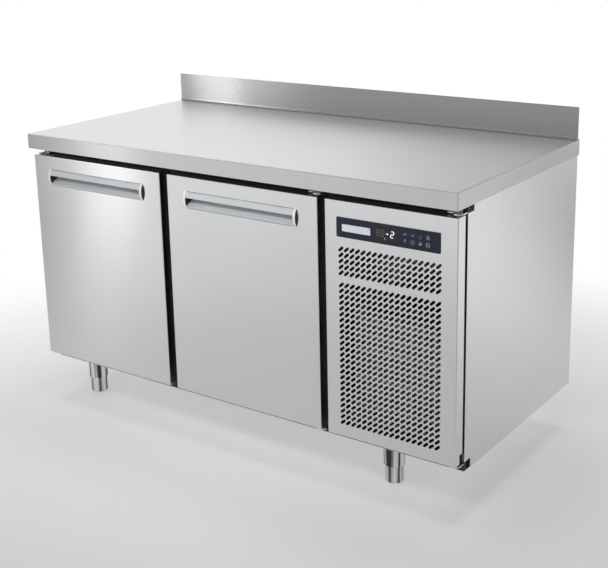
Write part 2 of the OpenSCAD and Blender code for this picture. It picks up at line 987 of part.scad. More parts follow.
// Draws its child for the left bay and again for the right bay
module in_both_bays() {
    children();
    on_right_door()
        children();
}

// Draws its child at the left wall of a bay and mirrored at the right wall
module at_both_walls() {
    children();
    translate([bay_x[0] + bay_x[1], 0, 0])
        mirror([1, 0, 0])
            children();
}

module shelf_upright(y) {
    slot_d = 10;
    slot_h = 16;
    difference() {
        span([bay_x[0], bay_x[0] + upright_t], [y - upright_w / 2, y + upright_w / 2], upright_z);
        for (z = [upright_z[0] + upright_pitch : upright_pitch : upright_z[1] - upright_pitch])
            translate([bay_x[0] - cut, y - slot_d / 2, z])
                cube([upright_t + 2 * cut, slot_d, slot_h]);
    }
}

module shelf_uprights() {
    color(steel)
        in_both_bays()
            at_both_walls()
                for (y = [chamber_y - upright_y, chamber_y + upright_y])
                    shelf_upright(y);
}

module shelf_runners() {
    wall_x = bay_x[0] + upright_t;
    run_y = [chamber_y - runner_l / 2, chamber_y + runner_l / 2];
    color(steel)
        in_both_bays()
            at_both_walls()
                union() {
                    span([wall_x, wall_x + ledge_w], run_y, [ledge_z - runner_t, ledge_z]);
                    span([wall_x, wall_x + runner_t], run_y, [ledge_z - runner_h, ledge_z]);
                }
}

module wire_shelf() {
    r = rod_d / 2;
    y = [chamber_y - shelf_d / 2, chamber_y + shelf_d / 2];
    z = ledge_z + r + rest_gap;
    wire_pitch = (shelf_x[1] - shelf_x[0] - rod_d) / (wire_count + 1);
    color(steel)
        union() {
            for (x = [shelf_x[0] + r, shelf_x[1] - r])
                rod_y(x, y[0], z, shelf_d, r);
            for (rod = [y[0] + 2 * r, chamber_y, y[1] - 2 * r])
                rod_x(shelf_x[0] + r, rod, z, shelf_x[1] - shelf_x[0] - rod_d, r - fit_clear);
            for (i = [1:wire_count])
                rod_y(shelf_x[0] + r + i * wire_pitch, y[0] + 2 * r, z, shelf_d - 4 * r, wire_d / 2);
        }
}

module shelf_left() wire_shelf();
module shelf_right() on_right_door() wire_shelf();

// Evaporator between the two bays

module evaporator_casing() {
    wall = liner_t;
    ring_w = 9;
    ring_pitch = 14;
    spoke = 6;
    louvre_pitch = 24;
    louvre_h = 8;
    louvre_inset = 30;
    louvre_low_gap = 40;
    louvre_top_gap = 20;
    louvre_z = [tray_z + tray_h + louvre_low_gap, coil_z1 - louvre_top_gap];
    color(steel)
        difference() {
            span([casing_x0, casing_x1], [casing_y0, chamber_y1], [casing_z0, chamber_z1]);
            span([casing_x0 + wall, casing_x1 - wall], [casing_y0 + wall, chamber_y1 + cut],
                [casing_z0 - cut, chamber_z1 + cut]);
            translate([casing_x0 - cut, evap_y, evap_z])
                rotate([0, 90, 0])
                    linear_extrude(wall + 2 * cut)
                        difference() {
                            for (r = [evap_fan_r : -ring_pitch : ring_pitch])
                                difference() {
                                    circle(r = r);
                                    circle(r = r - ring_w);
                                }
                            square([2 * evap_fan_r + cut, spoke], center = true);
                            square([spoke, 2 * evap_fan_r + cut], center = true);
                        }
            for (z = [louvre_z[0] : louvre_pitch : louvre_z[1]])
                translate([casing_x1 - wall - cut, tray_y[0] + louvre_inset, z])
                    cube([wall + 2 * cut, tray_l - 2 * louvre_inset, louvre_h]);
        }
}

module drip_tray() {
    wall = liner_t;
    x = [casing_x0 + liner_t, casing_x1 - liner_t];
    color(steel)
        difference() {
            union() {
                span(x, tray_y, [tray_z, tray_z + tray_h]);
                translate([mirror_x, drain_y, leg_h - drain_reach])
                    cylinder(h = tray_z + wall - leg_h + drain_reach, r = drain_r);
            }
            span([x[0] + wall, x[1] - wall], [tray_y[0] + wall, tray_y[1] - wall],
                [tray_z + wall, tray_z + tray_h + cut]);
            translate([mirror_x, drain_y, leg_h - drain_reach - cut])
                cylinder(h = tray_z + tray_h, r = drain_r - wall);
        }
}

module evaporator_coil() {
    side_gap = 6;
    end_gap = 12;
    fins = 22;
    rows = 6;
    row_gap = 30;
    tube_gap = 20;
    x = [casing_x0 + liner_t + side_gap, casing_x1 - liner_t - side_gap];
    y = [tray_y[0] + end_gap, tray_y[1] - end_gap];
    z = [tray_z + liner_t, coil_z1];
    tube_pitch = (z[1] - z[0] - 2 * row_gap) / (rows - 1);
    tube_l = y[1] - y[0] + 2 * tube_end;
    fin_pitch = (y[1] - y[0] - fin_t) / (fins - 1);
    color("lightgray")
        union() {
            for (i = [0:fins - 1])
                span(x, [y[0] + i * fin_pitch, y[0] + i * fin_pitch + fin_t], z);
            for (row = [0:rows - 1])
                for (tube = [x[0] + tube_gap, x[1] - tube_gap])
                    rod_y(tube, y[0] - tube_end, z[0] + row_gap + row * tube_pitch, tube_l, tube_r);
        }
}

module evaporator_motor() {
    wall_x = casing_x1 - liner_t;
    color(dark_steel)
        union() {
            rod_x(wall_x - evap_motor_l, evap_y, evap_z, evap_motor_l, evap_motor_r);
            rod_x(wall_x - evap_motor_l - evap_shaft_l, evap_y, evap_z, evap_shaft_l + cut, shaft_r);
        }
}

// A fan with its axis on Z: hub, pitched blades over most of its length and a bore for the shaft
module fan(hub_r, hub_l, tip_r, pitch) {
    blade_share = 0.8;
    chord = hub_l * blade_share / sin(pitch);
    difference() {
        union() {
            cylinder(h = hub_l, r = hub_r);
            intersection() {
                for (i = [0:fan_blades - 1])
                    rotate(i * 360 / fan_blades)
                        translate([0, 0, hub_l / 2])
                            rotate([pitch, 0, 0])
                                translate([0, -chord / 2, -blade_t / 2])
                                    cube([tip_r + hub_r, chord, blade_t]);
                cylinder(h = hub_l, r = tip_r);
            }
        }
        translate([0, 0, -cut])
            cylinder(h = hub_l + 2 * cut, r = shaft_r + run_clear);
    }
}

module evaporator_fan() {
    hub_x = casing_x1 - liner_t - evap_motor_l - evap_hub_l - rest_gap;
    color(black)
        translate([hub_x, evap_y, evap_z])
            rotate([0, 90, 0])
                fan(evap_hub_r, evap_hub_l, evap_fan_r - evap_tip_gap, evap_pitch);
}

// Condensing unit behind the service panel

module unit_tray() {
    x = [unit_x - unit_w / 2, unit_x + unit_w / 2];
    color(steel)
        union() {
            span(x, [unit_y0, unit_y1], [floor_in, unit_top]);
            span(x, [unit_y0, unit_y0 + unit_t], [floor_in, floor_in + unit_lip]);
            span(x, [unit_y1 - unit_t, unit_y1], [floor_in, floor_in + unit_lip]);
        }
}

module compressor() {
    dome = 60;
    steps = 8;
    dome_low = [for (i = [0:steps]) let (turn = i * 90 / steps)
        [compressor_r * sin(turn), dome * (1 - cos(turn))]];
    dome_high = [for (i = [steps:-1:0]) [dome_low[i][0], compressor_h - dome_low[i][1]]];
    flange_h = 6;
    flange_out = 5;
    color(black)
        union() {
            translate([unit_x, compressor_y, shell_z - plate_t])
                rotate_extrude($fn = 96)
                    polygon(concat(dome_low, dome_high));
            translate([unit_x, compressor_y, shell_z + compressor_h / 2])
                cylinder(h = flange_h, r = compressor_r + flange_out, $fn = 96);
            span([unit_x - mount_x - plate_edge, unit_x + mount_x + plate_edge],
                [compressor_y - mount_y - plate_edge, compressor_y + mount_y + plate_edge],
                [compressor_z, shell_z]);
            translate([unit_x - terminal_size[0] / 2, compressor_y - compressor_r - terminal_out,
                    shell_z + terminal_rise])
                cube(terminal_size);
            for (x = [-stub_x, stub_x])
                translate([unit_x + x, compressor_y, shell_z + compressor_h / 2])
                    cylinder(h = compressor_h / 2, r = stub_r);
        }
}

module compressor_mounts() {
    color(black)
        for (x = [-mount_x, mount_x])
            for (y = [-mount_y, mount_y])
                translate([unit_x + x, compressor_y + y, unit_top])
                    cylinder(h = mount_h, r = mount_r);
}

module condenser() {
    row_pitch = (row_z[1] - row_z[0]) / (tube_rows - 1);
    fin_pitch = (condenser_w - 2 * cond_plate) / (fin_count + 1);
    fin_x0 = cond_x0 + cond_plate - fin_t / 2;
    tube_l = condenser_w + 2 * tube_end;
    color(dark_steel)
        union() {
            for (x = [cond_x0, cond_x1 - cond_plate])
                span([x, x + cond_plate], [cond_y0, cond_y1], [unit_top, cond_z1]);
            for (i = [1:fin_count])
                translate([fin_x0 + i * fin_pitch, cond_y0 + fin_inset, fin_z[0]])
                    cube([fin_t, condenser_d - 2 * fin_inset, fin_z[1] - fin_z[0]]);
            for (row = [0:tube_rows - 1])
                for (y = [cond_y0 + tube_edge, cond_y1 - tube_edge])
                    rod_x(cond_x0 - tube_end, y, row_z[0] + row * row_pitch, tube_l, tube_r);
        }
}

module fan_shroud() {
    wall = sheet_t;
    color(dark_steel)
        difference() {
            span([cond_x0, cond_x1], [cond_y1, shroud_y1], [unit_top, cond_z1]);
            span([cond_x0 + wall, cond_x1 - wall], [cond_y1 - cut, shroud_y1 - wall],
                [unit_top + wall, cond_z1 - wall]);
            rod_y(unit_x, shroud_y1 - wall - cut, fan_z, wall + 2 * cut, fan_hole_r);
        }
}

// A strap across the back of the shroud that carries the fan motor
module motor_bracket() {
    arm_x = [unit_x - fan_hole_r - arm_reach, unit_x + fan_hole_r + arm_reach];
    z = [fan_z - arm_w / 2, fan_z + arm_w / 2];
    color(steel)
        difference() {
            union() {
                span(arm_x, [arm_y, arm_y + plate_t], z);
                for (x = [arm_x[0], arm_x[1] - plate_t])
                    span([x, x + plate_t], [shroud_y1, arm_y + plate_t], z);
                rod_y(unit_x, arm_y, fan_z, plate_t, motor_r + arm_ring);
            }
            rod_y(unit_x, arm_y - cut, fan_z, plate_t + 2 * cut, motor_r + fit_clear);
        }
}

module condenser_motor() {
    color(black)
        union() {
            rod_y(unit_x, motor_y0, fan_z, motor_l, motor_r);
            rod_y(unit_x, fan_hub_y0 + shaft_start, fan_z, motor_y0 - fan_hub_y0, shaft_r);
        }
}

module condenser_fan() {
    color(dark_steel)
        translate([unit_x, fan_hub_y0 + fan_hub_l, fan_z])
            rotate([90, 0, 0])
                fan(fan_hub_r, fan_hub_l, fan_r, fan_pitch);
}

module filter_drier() {
    color(copper)
        translate([drier_x, drier_y, drier_z0])
            rotate_extrude()
                polygon([[0, 0], [pipe_r, 0], [drier_r, drier_neck], [drier_r, drier_l - drier_neck],
                    [pipe_r, drier_l], [0, drier_l]]);
}

// Copper lines: runs of tube with a ball at each bend

line_ports = [drier_y, compressor_y];

module tube_run(from, to) {
    run = to - from;
    length = norm(run);
    translate(from)
        rotate([0, acos(run[2] / length), atan2(run[1], run[0])])
            cylinder(h = length, r = pipe_r);
}

module tube_route(points) {
    last = len(points) - 1;
    for (i = [0:last - 1])
        tube_run(points[i], points[i + 1]);
    for (i = [1:1:last - 1])
        translate(points[i])
            sphere(r = elbow_r);
}

module refrigerant_lines() {
    wall_x = partition_in_x - line_sink;
    suction = [unit_x - stub_x, compressor_y, stub_z];
    discharge = [unit_x + stub_x, compressor_y, stub_z];
    inlet = [cond_x1 + tube_end, cond_y0 + tube_edge, row_z[1]];
    outlet = [cond_x0 - tube_end, cond_y1 - tube_edge, row_z[0]];
    side_x = (cond_x1 + body_in_x) / 2;
    color(copper) {
        tube_route([[drier_x, drier_y, drier_z0 + drier_l], [drier_x, drier_y, line_z],
            [wall_x, drier_y, line_z]]);
        tube_route([[drier_x, drier_y, drier_z0], [drier_x, drier_y, outlet[2]],
            [drier_x, outlet[1], outlet[2]], outlet]);
        tube_route([[wall_x, suction[1], line_z], [suction[0], suction[1], line_z], suction]);
        tube_route([discharge, [discharge[0], discharge[1], inlet[2]], [side_x, discharge[1], inlet[2]],
            [side_x, inlet[1], inlet[2]], inlet]);
    }
}

module electrical_box() {
    color("gainsboro")
        translate([partition_x, frame_back + electrical_back,
                door_z1 - electrical_drop - electrical_size[2]])
            cube(electrical_size);
}

// Cable gland in the back panel

gland_shank_r = 10;
gland_nut_rim = 4;
gland_head_rim = 5;
gland_side = 90;
gland_rise = 112;
gland_x = unit_x + gland_side;
gland_z = leg_h + gland_rise;
gland_bore_r = 4.5;

module gland_hole(y0, length, r) {
    rod_y(gland_x, y0, gland_z, length, r);
}

module cable_gland() {
    nut_h = 6;
    head_h = body_back_inset - rest_gap;
    color(black)
        difference() {
            union() {
                gland_hole(back_in_y - nut_h, nut_h + sheet_t + head_h, gland_shank_r);
                gland_hole(back_in_y - nut_h, nut_h, gland_shank_r + gland_nut_rim);
                gland_hole(back_y, head_h, gland_shank_r + gland_head_rim);
            }
            gland_hole(back_in_y - nut_h - cut, nut_h + sheet_t + head_h + 2 * cut, gland_bore_r);
        }
}

// Feet: four sleeves under the body and four feet on stems that screw up into them

module foot_sleeves() {
    color(steel)
        for (x = foot_x)
            for (y = foot_y)
                translate([x, y, 0])
                    difference() {
                        union() {
                            translate([0, 0, leg_h - sleeve_plate_t / 2])
                                cube([sleeve_plate, sleeve_plate, sleeve_plate_t], center = true);
                            translate([0, 0, sleeve_z])
                                cylinder(h = leg_h - sleeve_z - sleeve_plate_t / 2, r1 = sleeve_low_d / 2,
                                    r2 = sleeve_d / 2);
                        }
                        translate([0, 0, sleeve_z - cut])
                            cylinder(h = leg_h - sleeve_z + 2 * cut, r = stem_d / 2 + run_clear);
                    }
}

module levelling_foot(x, y) {
    r = foot_d / 2;
    rise = sleeve_z - foot_seat;
    color(dark_steel)
        translate([x, y, 0])
            rotate_extrude()
                polygon(concat([[0, 0]], quarter_round(r, foot_round), [[r, rise], [stem_d / 2, rise],
                    [stem_d / 2, rise + stem_l], [0, rise + stem_l]]));
}

module foot_front_left() levelling_foot(foot_x[0], foot_y[0]);
module foot_front_right() levelling_foot(foot_x[1], foot_y[0]);
module foot_rear_left() levelling_foot(foot_x[0], foot_y[1]);
module foot_rear_right() levelling_foot(foot_x[1], foot_y[1]);

worktop();
upstand();
worktop_core();
left_side_panel();
right_side_panel();
back_panel();
base_panel();
partition_panel();
insulation_floor();
insulation_ceiling();
insulation_left();
insulation_partition();
insulation_back();
inner_liner();
front_frame();
hinge_brackets();
bracket_screws();
shelf_uprights();
shelf_runners();
shelf_left();
shelf_right();
evaporator_casing();
evaporator_coil();
evaporator_motor();
evaporator_fan();
drip_tray();
unit_tray();
compressor();
compressor_mounts();
condenser();
fan_shroud();
motor_bracket();
condenser_motor();
condenser_fan();
filter_drier();
refrigerant_lines();
electrical_box();
cable_gland();
foot_sleeves();
foot_front_left();
foot_front_right();
foot_rear_left();
foot_rear_right();
left_door_skin();
left_door_foam();
left_door_liner();
left_door_gasket();
left_door_handle();
left_door_handle_caps();
left_door_bushes();
right_door_skin();
right_door_foam();
right_door_liner();
right_door_gasket();
right_door_handle();
right_door_handle_caps();
right_door_bushes();
service_panel();
control_fascia();
controller();
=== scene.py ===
import json
import math

import bmesh
import bpy
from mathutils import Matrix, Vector


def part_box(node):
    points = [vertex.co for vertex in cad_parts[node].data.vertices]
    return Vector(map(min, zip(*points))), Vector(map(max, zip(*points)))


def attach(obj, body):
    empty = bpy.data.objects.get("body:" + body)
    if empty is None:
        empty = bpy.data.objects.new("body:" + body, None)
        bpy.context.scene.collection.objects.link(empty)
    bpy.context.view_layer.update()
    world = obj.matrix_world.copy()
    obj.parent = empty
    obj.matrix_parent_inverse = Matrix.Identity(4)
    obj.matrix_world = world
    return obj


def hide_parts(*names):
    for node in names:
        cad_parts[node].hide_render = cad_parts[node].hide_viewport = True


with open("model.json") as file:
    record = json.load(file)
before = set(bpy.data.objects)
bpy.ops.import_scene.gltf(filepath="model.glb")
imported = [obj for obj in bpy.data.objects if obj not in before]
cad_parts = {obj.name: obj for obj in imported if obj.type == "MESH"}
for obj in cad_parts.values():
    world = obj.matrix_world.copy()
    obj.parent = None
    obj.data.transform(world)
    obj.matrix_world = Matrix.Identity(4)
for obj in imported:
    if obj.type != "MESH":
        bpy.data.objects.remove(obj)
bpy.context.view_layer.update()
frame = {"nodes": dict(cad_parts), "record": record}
nodes = frame["nodes"]
scene = bpy.context.scene
mm = 0.001


# camera, fitted to the worktop's and the doors' corners in the photograph

photoCamera = {
    "azimuth": 35.66,  # degrees to the right of straight ahead
    "elevation": 14.58,
    "roll": -1.25,
    "place": (1.874, -2.565, 1.475),
    "focalPixels": 1143,
    "imageWidth": 608,
    "sensorWidth": 36,
    "clipEnd": 100,
    "shiftY": -0.13,  # the photograph's uprights hardly lean, as with a raised lens
}


def addCamera(look):
    azimuth = math.radians(look["azimuth"])
    elevation = math.radians(look["elevation"])
    roll = math.radians(look["roll"])
    back = Vector((math.sin(azimuth) * math.cos(elevation), -math.cos(azimuth) * math.cos(elevation),
                   math.sin(elevation)))
    level = (-back).cross(Vector((0, 0, 1))).normalized()
    rise = level.cross(-back)
    right = math.cos(roll) * level + math.sin(roll) * rise
    up = math.cos(roll) * rise - math.sin(roll) * level
    data = bpy.data.cameras.new("camera")
    data.sensor_width = look["sensorWidth"]
    data.lens = look["focalPixels"] * data.sensor_width / look["imageWidth"]
    data.shift_y = look["shiftY"]
    data.clip_end = look["clipEnd"]
    camera = bpy.data.objects.new("camera", data)
    scene.collection.objects.link(camera)
    matrix = camera.matrix_world.copy()
    for column, axis in enumerate((right, up, back, Vector(look["place"]))):
        for row in range(3):
            matrix[row][column] = axis[row]
    camera.matrix_world = matrix
    scene.camera = camera


addCamera(photoCamera)
print("camera placed")


# colours and nodes

def hexLinear(text):
    parts = [int(text[i:i + 2], 16) / 255 for i in (1, 3, 5)]
    return tuple(p / 12.92 if p <= 0.04045 else ((p + 0.055) / 1.055) ** 2.4 for p in parts) + (1.0,)


def addNode(tree, kind, settings={}, inputs={}):
    node = tree.nodes.new(kind)
    for name, value in settings.items():
        setattr(node, name, value)
    for key, value in inputs.items():
        if isinstance(value, bpy.types.NodeSocket):
            tree.links.new(value, node.inputs[key])
        else:
            node.inputs[key].default_value = value
    return node


def newMaterial(name):
    material = bpy.data.materials.new(name)
    material.use_nodes = True
    material.node_tree.nodes.clear()
    return material, material.node_tree


def showSurface(tree, shader):
    addNode(tree, "ShaderNodeOutputMaterial", {}, {"Surface": shader})


# studio: pale floor, white surroundings, soft lights

studio = {
    "floorColour": "#ededed", "floorRadius": 40, "floorCorners": 64,
    "floorMiddle": (0.35, -0.45, 0.0),
    "floorNear": 1.0,  # metres from there: plain floor with the shadow inside, white outside
    "floorFar": 2.3,
    "floorShare": 0.05,  # share of white where the floor is nearest
    "underShare": 0.35,  # and under the cabinet, where its shadow is deepest
    "underHalf": (0.74, 0.42), "underEdge": 0.2,
    # zones where the floor stays plain: in front on the left, behind on the right, and in front
    # on the right; each is past two or three lines: the way across, from and to
    "plainZones": [
        [((-0.65, 0.76, 0.0), -0.25, 0.25), ((0.0, -1.0, 0.0), 0.3, 0.9)],
        [((-0.891, 0.454, 0.0), -0.8, -0.1), ((0.935, 0.355, 0.0), 0.85, 1.5),
         ((0.0, -1.0, 0.0), -5.0, -3.2)],
        [((0.583, -0.812, 0.0), 0.9, 1.3), ((1.0, 0.0, 0.0), 0.45, 0.85)],
    ],
    # room: white floor to the horizon, bright wall behind on the left, grey elsewhere and overhead
    "brightSide": (-0.82, 0.57, 0.0),
    "brightFrom": 0.62, "brightTo": 0.9, "brightLevel": 1.0, "greyLevel": 0.42,
    "wallFrom": 0.1, "wallTo": 0.22,
    "ceilingFrom": 0.8, "ceilingTo": 0.97, "ceilingLevel": 0.4,
    "lampWatts": 4,  # per square metre, for a radiance of one
    "lights": [
        # name, place, looks at, width, height, radiance, spread in degrees, shows in metal
        ("backSoftbox", (-3.5, 3.4, 2.4), (0.0, 0.0, 0.7), 3.0, 3.4, 0.5, 180, True),
        ("highStrip", (-3.1, -2.75, 2.2), (-0.5, 0.3, 0.9), 0.35, 1.8, 2.5, 180, True),
        ("lowStrip", (-2.0, -1.95, 0.55), (-0.4, -0.3, 0.5), 0.25, 1.0, 0.5, 180, True),
        ("upstandStrip", (-1.08, -0.3, 1.02), (-0.5, 0.33, 0.9), 0.18, 0.25, 2.1, 180, True),
        ("overheadSoftbox", (0.0, 0.0, 3.2), (0.0, 0.0, 0.0), 2.6, 2.0, 0.45, 70, False),
        ("frontSoftbox", (0.2, -2.4, 2.7), (0.0, -0.335, 0.72), 1.0, 0.5, 0.75, 35, False),
    ],
}


def whiteWhereSeen(tree):
    path = addNode(tree, "ShaderNodeLightPath")
    seen = addNode(tree, "ShaderNodeMath", {"operation": "MAXIMUM"},
                   {0: path.outputs["Is Camera Ray"], 1: path.outputs["Is Glossy Ray"]})
    return addNode(tree, "ShaderNodeMath", {"operation": "MAXIMUM"},
                   {0: seen.outputs[0], 1: path.outputs["Is Transmission Ray"]}).outputs[0]


def addFloor(look):
    floor = bpy.data.objects.new("floor", bpy.data.meshes.new("floor"))
    bm = bmesh.new()
    bmesh.ops.create_circle(bm, cap_ends=True, segments=look["floorCorners"], radius=look["floorRadius"])
    bm.to_mesh(floor.data)
    bm.free()
    scene.collection.objects.link(floor)
    material, tree = newMaterial("matt studio floor")
    coords = addNode(tree, "ShaderNodeTexCoord")
    distance = addNode(tree, "ShaderNodeVectorMath", {"operation": "DISTANCE"},
                       {0: coords.outputs["Object"], 1: look["floorMiddle"]})
    reach = addNode(tree, "ShaderNodeMapRange", {"interpolation_type": "SMOOTHSTEP"},
                    {"Value": distance.outputs["Value"], "From Min": look["floorNear"],
                     "From Max": look["floorFar"], "To Min": look["floorShare"]}).outputs["Result"]
    place = addNode(tree, "ShaderNodeSeparateXYZ", {}, {0: coords.outputs["Object"]})
    under = look["underShare"]
    for axis, half in zip("XY", look["underHalf"]):
        off = addNode(tree, "ShaderNodeMath", {"operation": "ABSOLUTE"}, {0: place.outputs[axis]})
        near = addNode(tree, "ShaderNodeMapRange", {"interpolation_type": "SMOOTHSTEP"}, {
            "Value": off.outputs[0], "From Min": half - look["underEdge"],
            "From Max": half + look["underEdge"], "To Min": 1.0, "To Max": 0.0})
        under = addNode(tree, "ShaderNodeMath", {"operation": "MULTIPLY"},
                        {0: under, 1: near.outputs["Result"]}).outputs[0]
    reach = addNode(tree, "ShaderNodeMath", {"operation": "MAXIMUM"}, {0: reach, 1: under}).outputs[0]
    for zone in look["plainZones"]:
        inside = 1.0
        for way, first, last in zone:
            across = addNode(tree, "ShaderNodeVectorMath", {"operation": "DOT_PRODUCT"},
                             {0: coords.outputs["Object"], 1: way})
            past = addNode(tree, "ShaderNodeMapRange", {"interpolation_type": "SMOOTHSTEP"}, {
                "Value": across.outputs["Value"], "From Min": first, "From Max": last})
            inside = addNode(tree, "ShaderNodeMath", {"operation": "MULTIPLY"},
                             {0: inside, 1: past.outputs["Result"]}).outputs[0]
        rest = addNode(tree, "ShaderNodeMath", {"operation": "SUBTRACT"}, {0: 1.0, 1: inside})
        reach = addNode(tree, "ShaderNodeMath", {"operation": "MULTIPLY"},
                        {0: reach, 1: rest.outputs[0]}).outputs[0]
    share = addNode(tree, "ShaderNodeMath", {"operation": "MULTIPLY"},
                    {0: reach, 1: whiteWhereSeen(tree)})
    matt = addNode(tree, "ShaderNodeBsdfDiffuse", {}, {"Color": hexLinear(look["floorColour"])})
    glow = addNode(tree, "ShaderNodeEmission", {}, {"Strength": 1.0})
    showSurface(tree, addNode(tree, "ShaderNodeMixShader", {}, {
        0: share.outputs[0], 1: matt.outputs[0], 2: glow.outputs[0]}).outputs[0])
    floor.data.materials.append(material)


def addSurroundings(look):
    world = bpy.data.worlds.new("studio")
    world.use_nodes = True
    tree = world.node_tree
    tree.nodes.clear()
    way = addNode(tree, "ShaderNodeTexCoord").outputs["Generated"]
    height = addNode(tree, "ShaderNodeSeparateXYZ", {}, {0: way}).outputs["Z"]
    side = addNode(tree, "ShaderNodeVectorMath", {"operation": "DOT_PRODUCT"},
                   {0: way, 1: look["brightSide"]})
    upper = addNode(tree, "ShaderNodeMapRange", {"interpolation_type": "SMOOTHSTEP"}, {
        "Value": side.outputs["Value"], "From Min": look["brightFrom"], "From Max": look["brightTo"],
        "To Min": look["greyLevel"], "To Max": look["brightLevel"]})
    above = addNode(tree, "ShaderNodeMapRange", {"interpolation_type": "SMOOTHSTEP"}, {
        "Value": height, "From Min": look["wallFrom"], "From Max": look["wallTo"]})
    room = addNode(tree, "ShaderNodeMix", {"data_type": "FLOAT"},
                   {0: above.outputs["Result"], 2: 1.0, 3: upper.outputs["Result"]})
    overhead = addNode(tree, "ShaderNodeMapRange", {"interpolation_type": "SMOOTHSTEP"}, {
        "Value": height, "From Min": look["ceilingFrom"], "From Max": look["ceilingTo"]})
    level = addNode(tree, "ShaderNodeMix", {"data_type": "FLOAT"},
                    {0: overhead.outputs["Result"], 2: room.outputs[0], 3: look["ceilingLevel"]})
    background = addNode(tree, "ShaderNodeBackground", {},
                         {"Color": (1, 1, 1, 1), "Strength": level.outputs[0]})
    addNode(tree, "ShaderNodeOutputWorld", {}, {"Surface": background.outputs[0]})
    scene.world = world


def addLights(look):
    for name, place, target, width, height, radiance, spread, mirrored in look["lights"]:
        data = bpy.data.lights.new(name, "AREA")
        data.shape = "RECTANGLE"
        data.size = width
        data.size_y = height
        data.energy = look["lampWatts"] * width * height * radiance
        data.spread = math.radians(spread)
        light = bpy.data.objects.new(name, data)
        light.location = place
        light.rotation_euler = (Vector(target) - Vector(place)).to_track_quat("-Z", "Y").to_euler()
        light.visible_camera = False
        light.visible_glossy = mirrored
        scene.collection.objects.link(light)


scene.view_settings.view_transform = "Standard"
addFloor(studio)
addSurroundings(studio)
addLights(studio)
print("studio lit")


# materials: sizes are in mm, so a pattern's scale is 1000 over its size

noiseLow, noiseHigh = 0.3, 0.7  # most values of a noise lie between these
plasticIor, rubberIor, polycarbonateIor = 1.53, 1.52, 1.58
# fleece lines are about 0.05 mm wide on the sheet: drawn 2 mm wide so that they show at all
steelGrain = {"lineWidth": 2, "lineHeight": 0.3, "detail": 3.0, "roughness": 0.65, "wipeSize": 300,
              "wipeDetail": 2.0, "wipeSpread": 0.02, "sideFacing": 0.5}
mouldGrain = {"detail": 2.0, "spread": 0.06, "relief": 0.15, "height": 0.2, "patchesPerMetre": 12.0}
metalPatches = {"detail": 4.0, "spread": 0.1}
filmPatches = {"perMetre": 60.0, "detail": 2.0, "spread": 0.03}


def brushedStainless(look):
    # stainless sheet run through a belt of abrasive fleece: fine lines along the sheet that
    # draw reflections out across them, and hardly any colour
    material, tree = newMaterial(look["name"])
    coords = addNode(tree, "ShaderNodeTexCoord")
    facing = addNode(tree, "ShaderNodeSeparateXYZ", {}, {0: coords.outputs["Normal"]})
    sideways = addNode(tree, "ShaderNodeMath", {"operation": "ABSOLUTE"}, {0: facing.outputs["X"]})
    onSides = addNode(tree, "ShaderNodeMath", {"operation": "GREATER_THAN"},
                      {0: sideways.outputs[0], 1: steelGrain["sideFacing"]})
    along, across = 1000 / look["lineLength"], 1000 / steelGrain["lineWidth"]
    linesX = addNode(tree, "ShaderNodeVectorMath", {"operation": "MULTIPLY"},
                     {0: coords.outputs["Object"], 1: (along, across, across)})
    linesY = addNode(tree, "ShaderNodeVectorMath", {"operation": "MULTIPLY"},
                     {0: coords.outputs["Object"], 1: (across, along, across)})
    lines = addNode(tree, "ShaderNodeMix", {"data_type": "VECTOR"},
                    {0: onSides.outputs[0], 4: linesX.outputs[0], 5: linesY.outputs[0]})
    grain = addNode(tree, "ShaderNodeTexNoise", {}, {
        "Vector": lines.outputs[1], "Scale": 1.0, "Detail": steelGrain["detail"],
        "Roughness": steelGrain["roughness"]})
    wiped = addNode(tree, "ShaderNodeTexNoise", {}, {
        "Vector": coords.outputs["Object"], "Scale": 1000 / steelGrain["wipeSize"],
        "Detail": steelGrain["wipeDetail"]})
    colour = addNode(tree, "ShaderNodeMix", {"data_type": "RGBA"},
                     {0: grain.outputs[0], 6: hexLinear(look["dark"]), 7: hexLinear(look["light"])})
    rough = addNode(tree, "ShaderNodeMapRange", {}, {
        "Value": wiped.outputs[0], "From Min": noiseLow, "From Max": noiseHigh,
        "To Min": look["roughness"] - steelGrain["wipeSpread"],
        "To Max": look["roughness"] + steelGrain["wipeSpread"]})
    bump = addNode(tree, "ShaderNodeBump", {}, {"Height": grain.outputs[0], "Strength": look["lineDepth"],
                                                "Distance": steelGrain["lineHeight"] * mm})
    geometry = addNode(tree, "ShaderNodeNewGeometry")
    normal = addNode(tree, "ShaderNodeSeparateXYZ", {}, {0: geometry.outputs["Normal"]})
    flat = addNode(tree, "ShaderNodeMath", {"operation": "ABSOLUTE"}, {0: normal.outputs["Z"]})
    upright = addNode(tree, "ShaderNodeMath", {"operation": "SUBTRACT"}, {0: 1.0, 1: flat.outputs[0]})
    acrossLines = addNode(tree, "ShaderNodeCombineXYZ", {},
                          {"Y": flat.outputs[0], "Z": upright.outputs[0]})
    finish = {"Roughness": rough.outputs[0], "Anisotropic": look["anisotropic"]}
    # where a sheet is worn, wiping has dulled its flat top, while its folds keep their lines
    for key, worn in look.get("worn", {}).items():
        finish[key] = addNode(tree, "ShaderNodeMix", {"data_type": "FLOAT"},
                              {0: flat.outputs[0], 2: finish[key], 3: worn}).outputs[0]
    steel = addNode(tree, "ShaderNodeBsdfPrincipled", {}, {
        "Base Color": colour.outputs[2], "Metallic": look["bare"], "Tangent": acrossLines.outputs[0],
        "Normal": bump.outputs[0], **finish})
    showSurface(tree, steel.outputs[0])
    return material


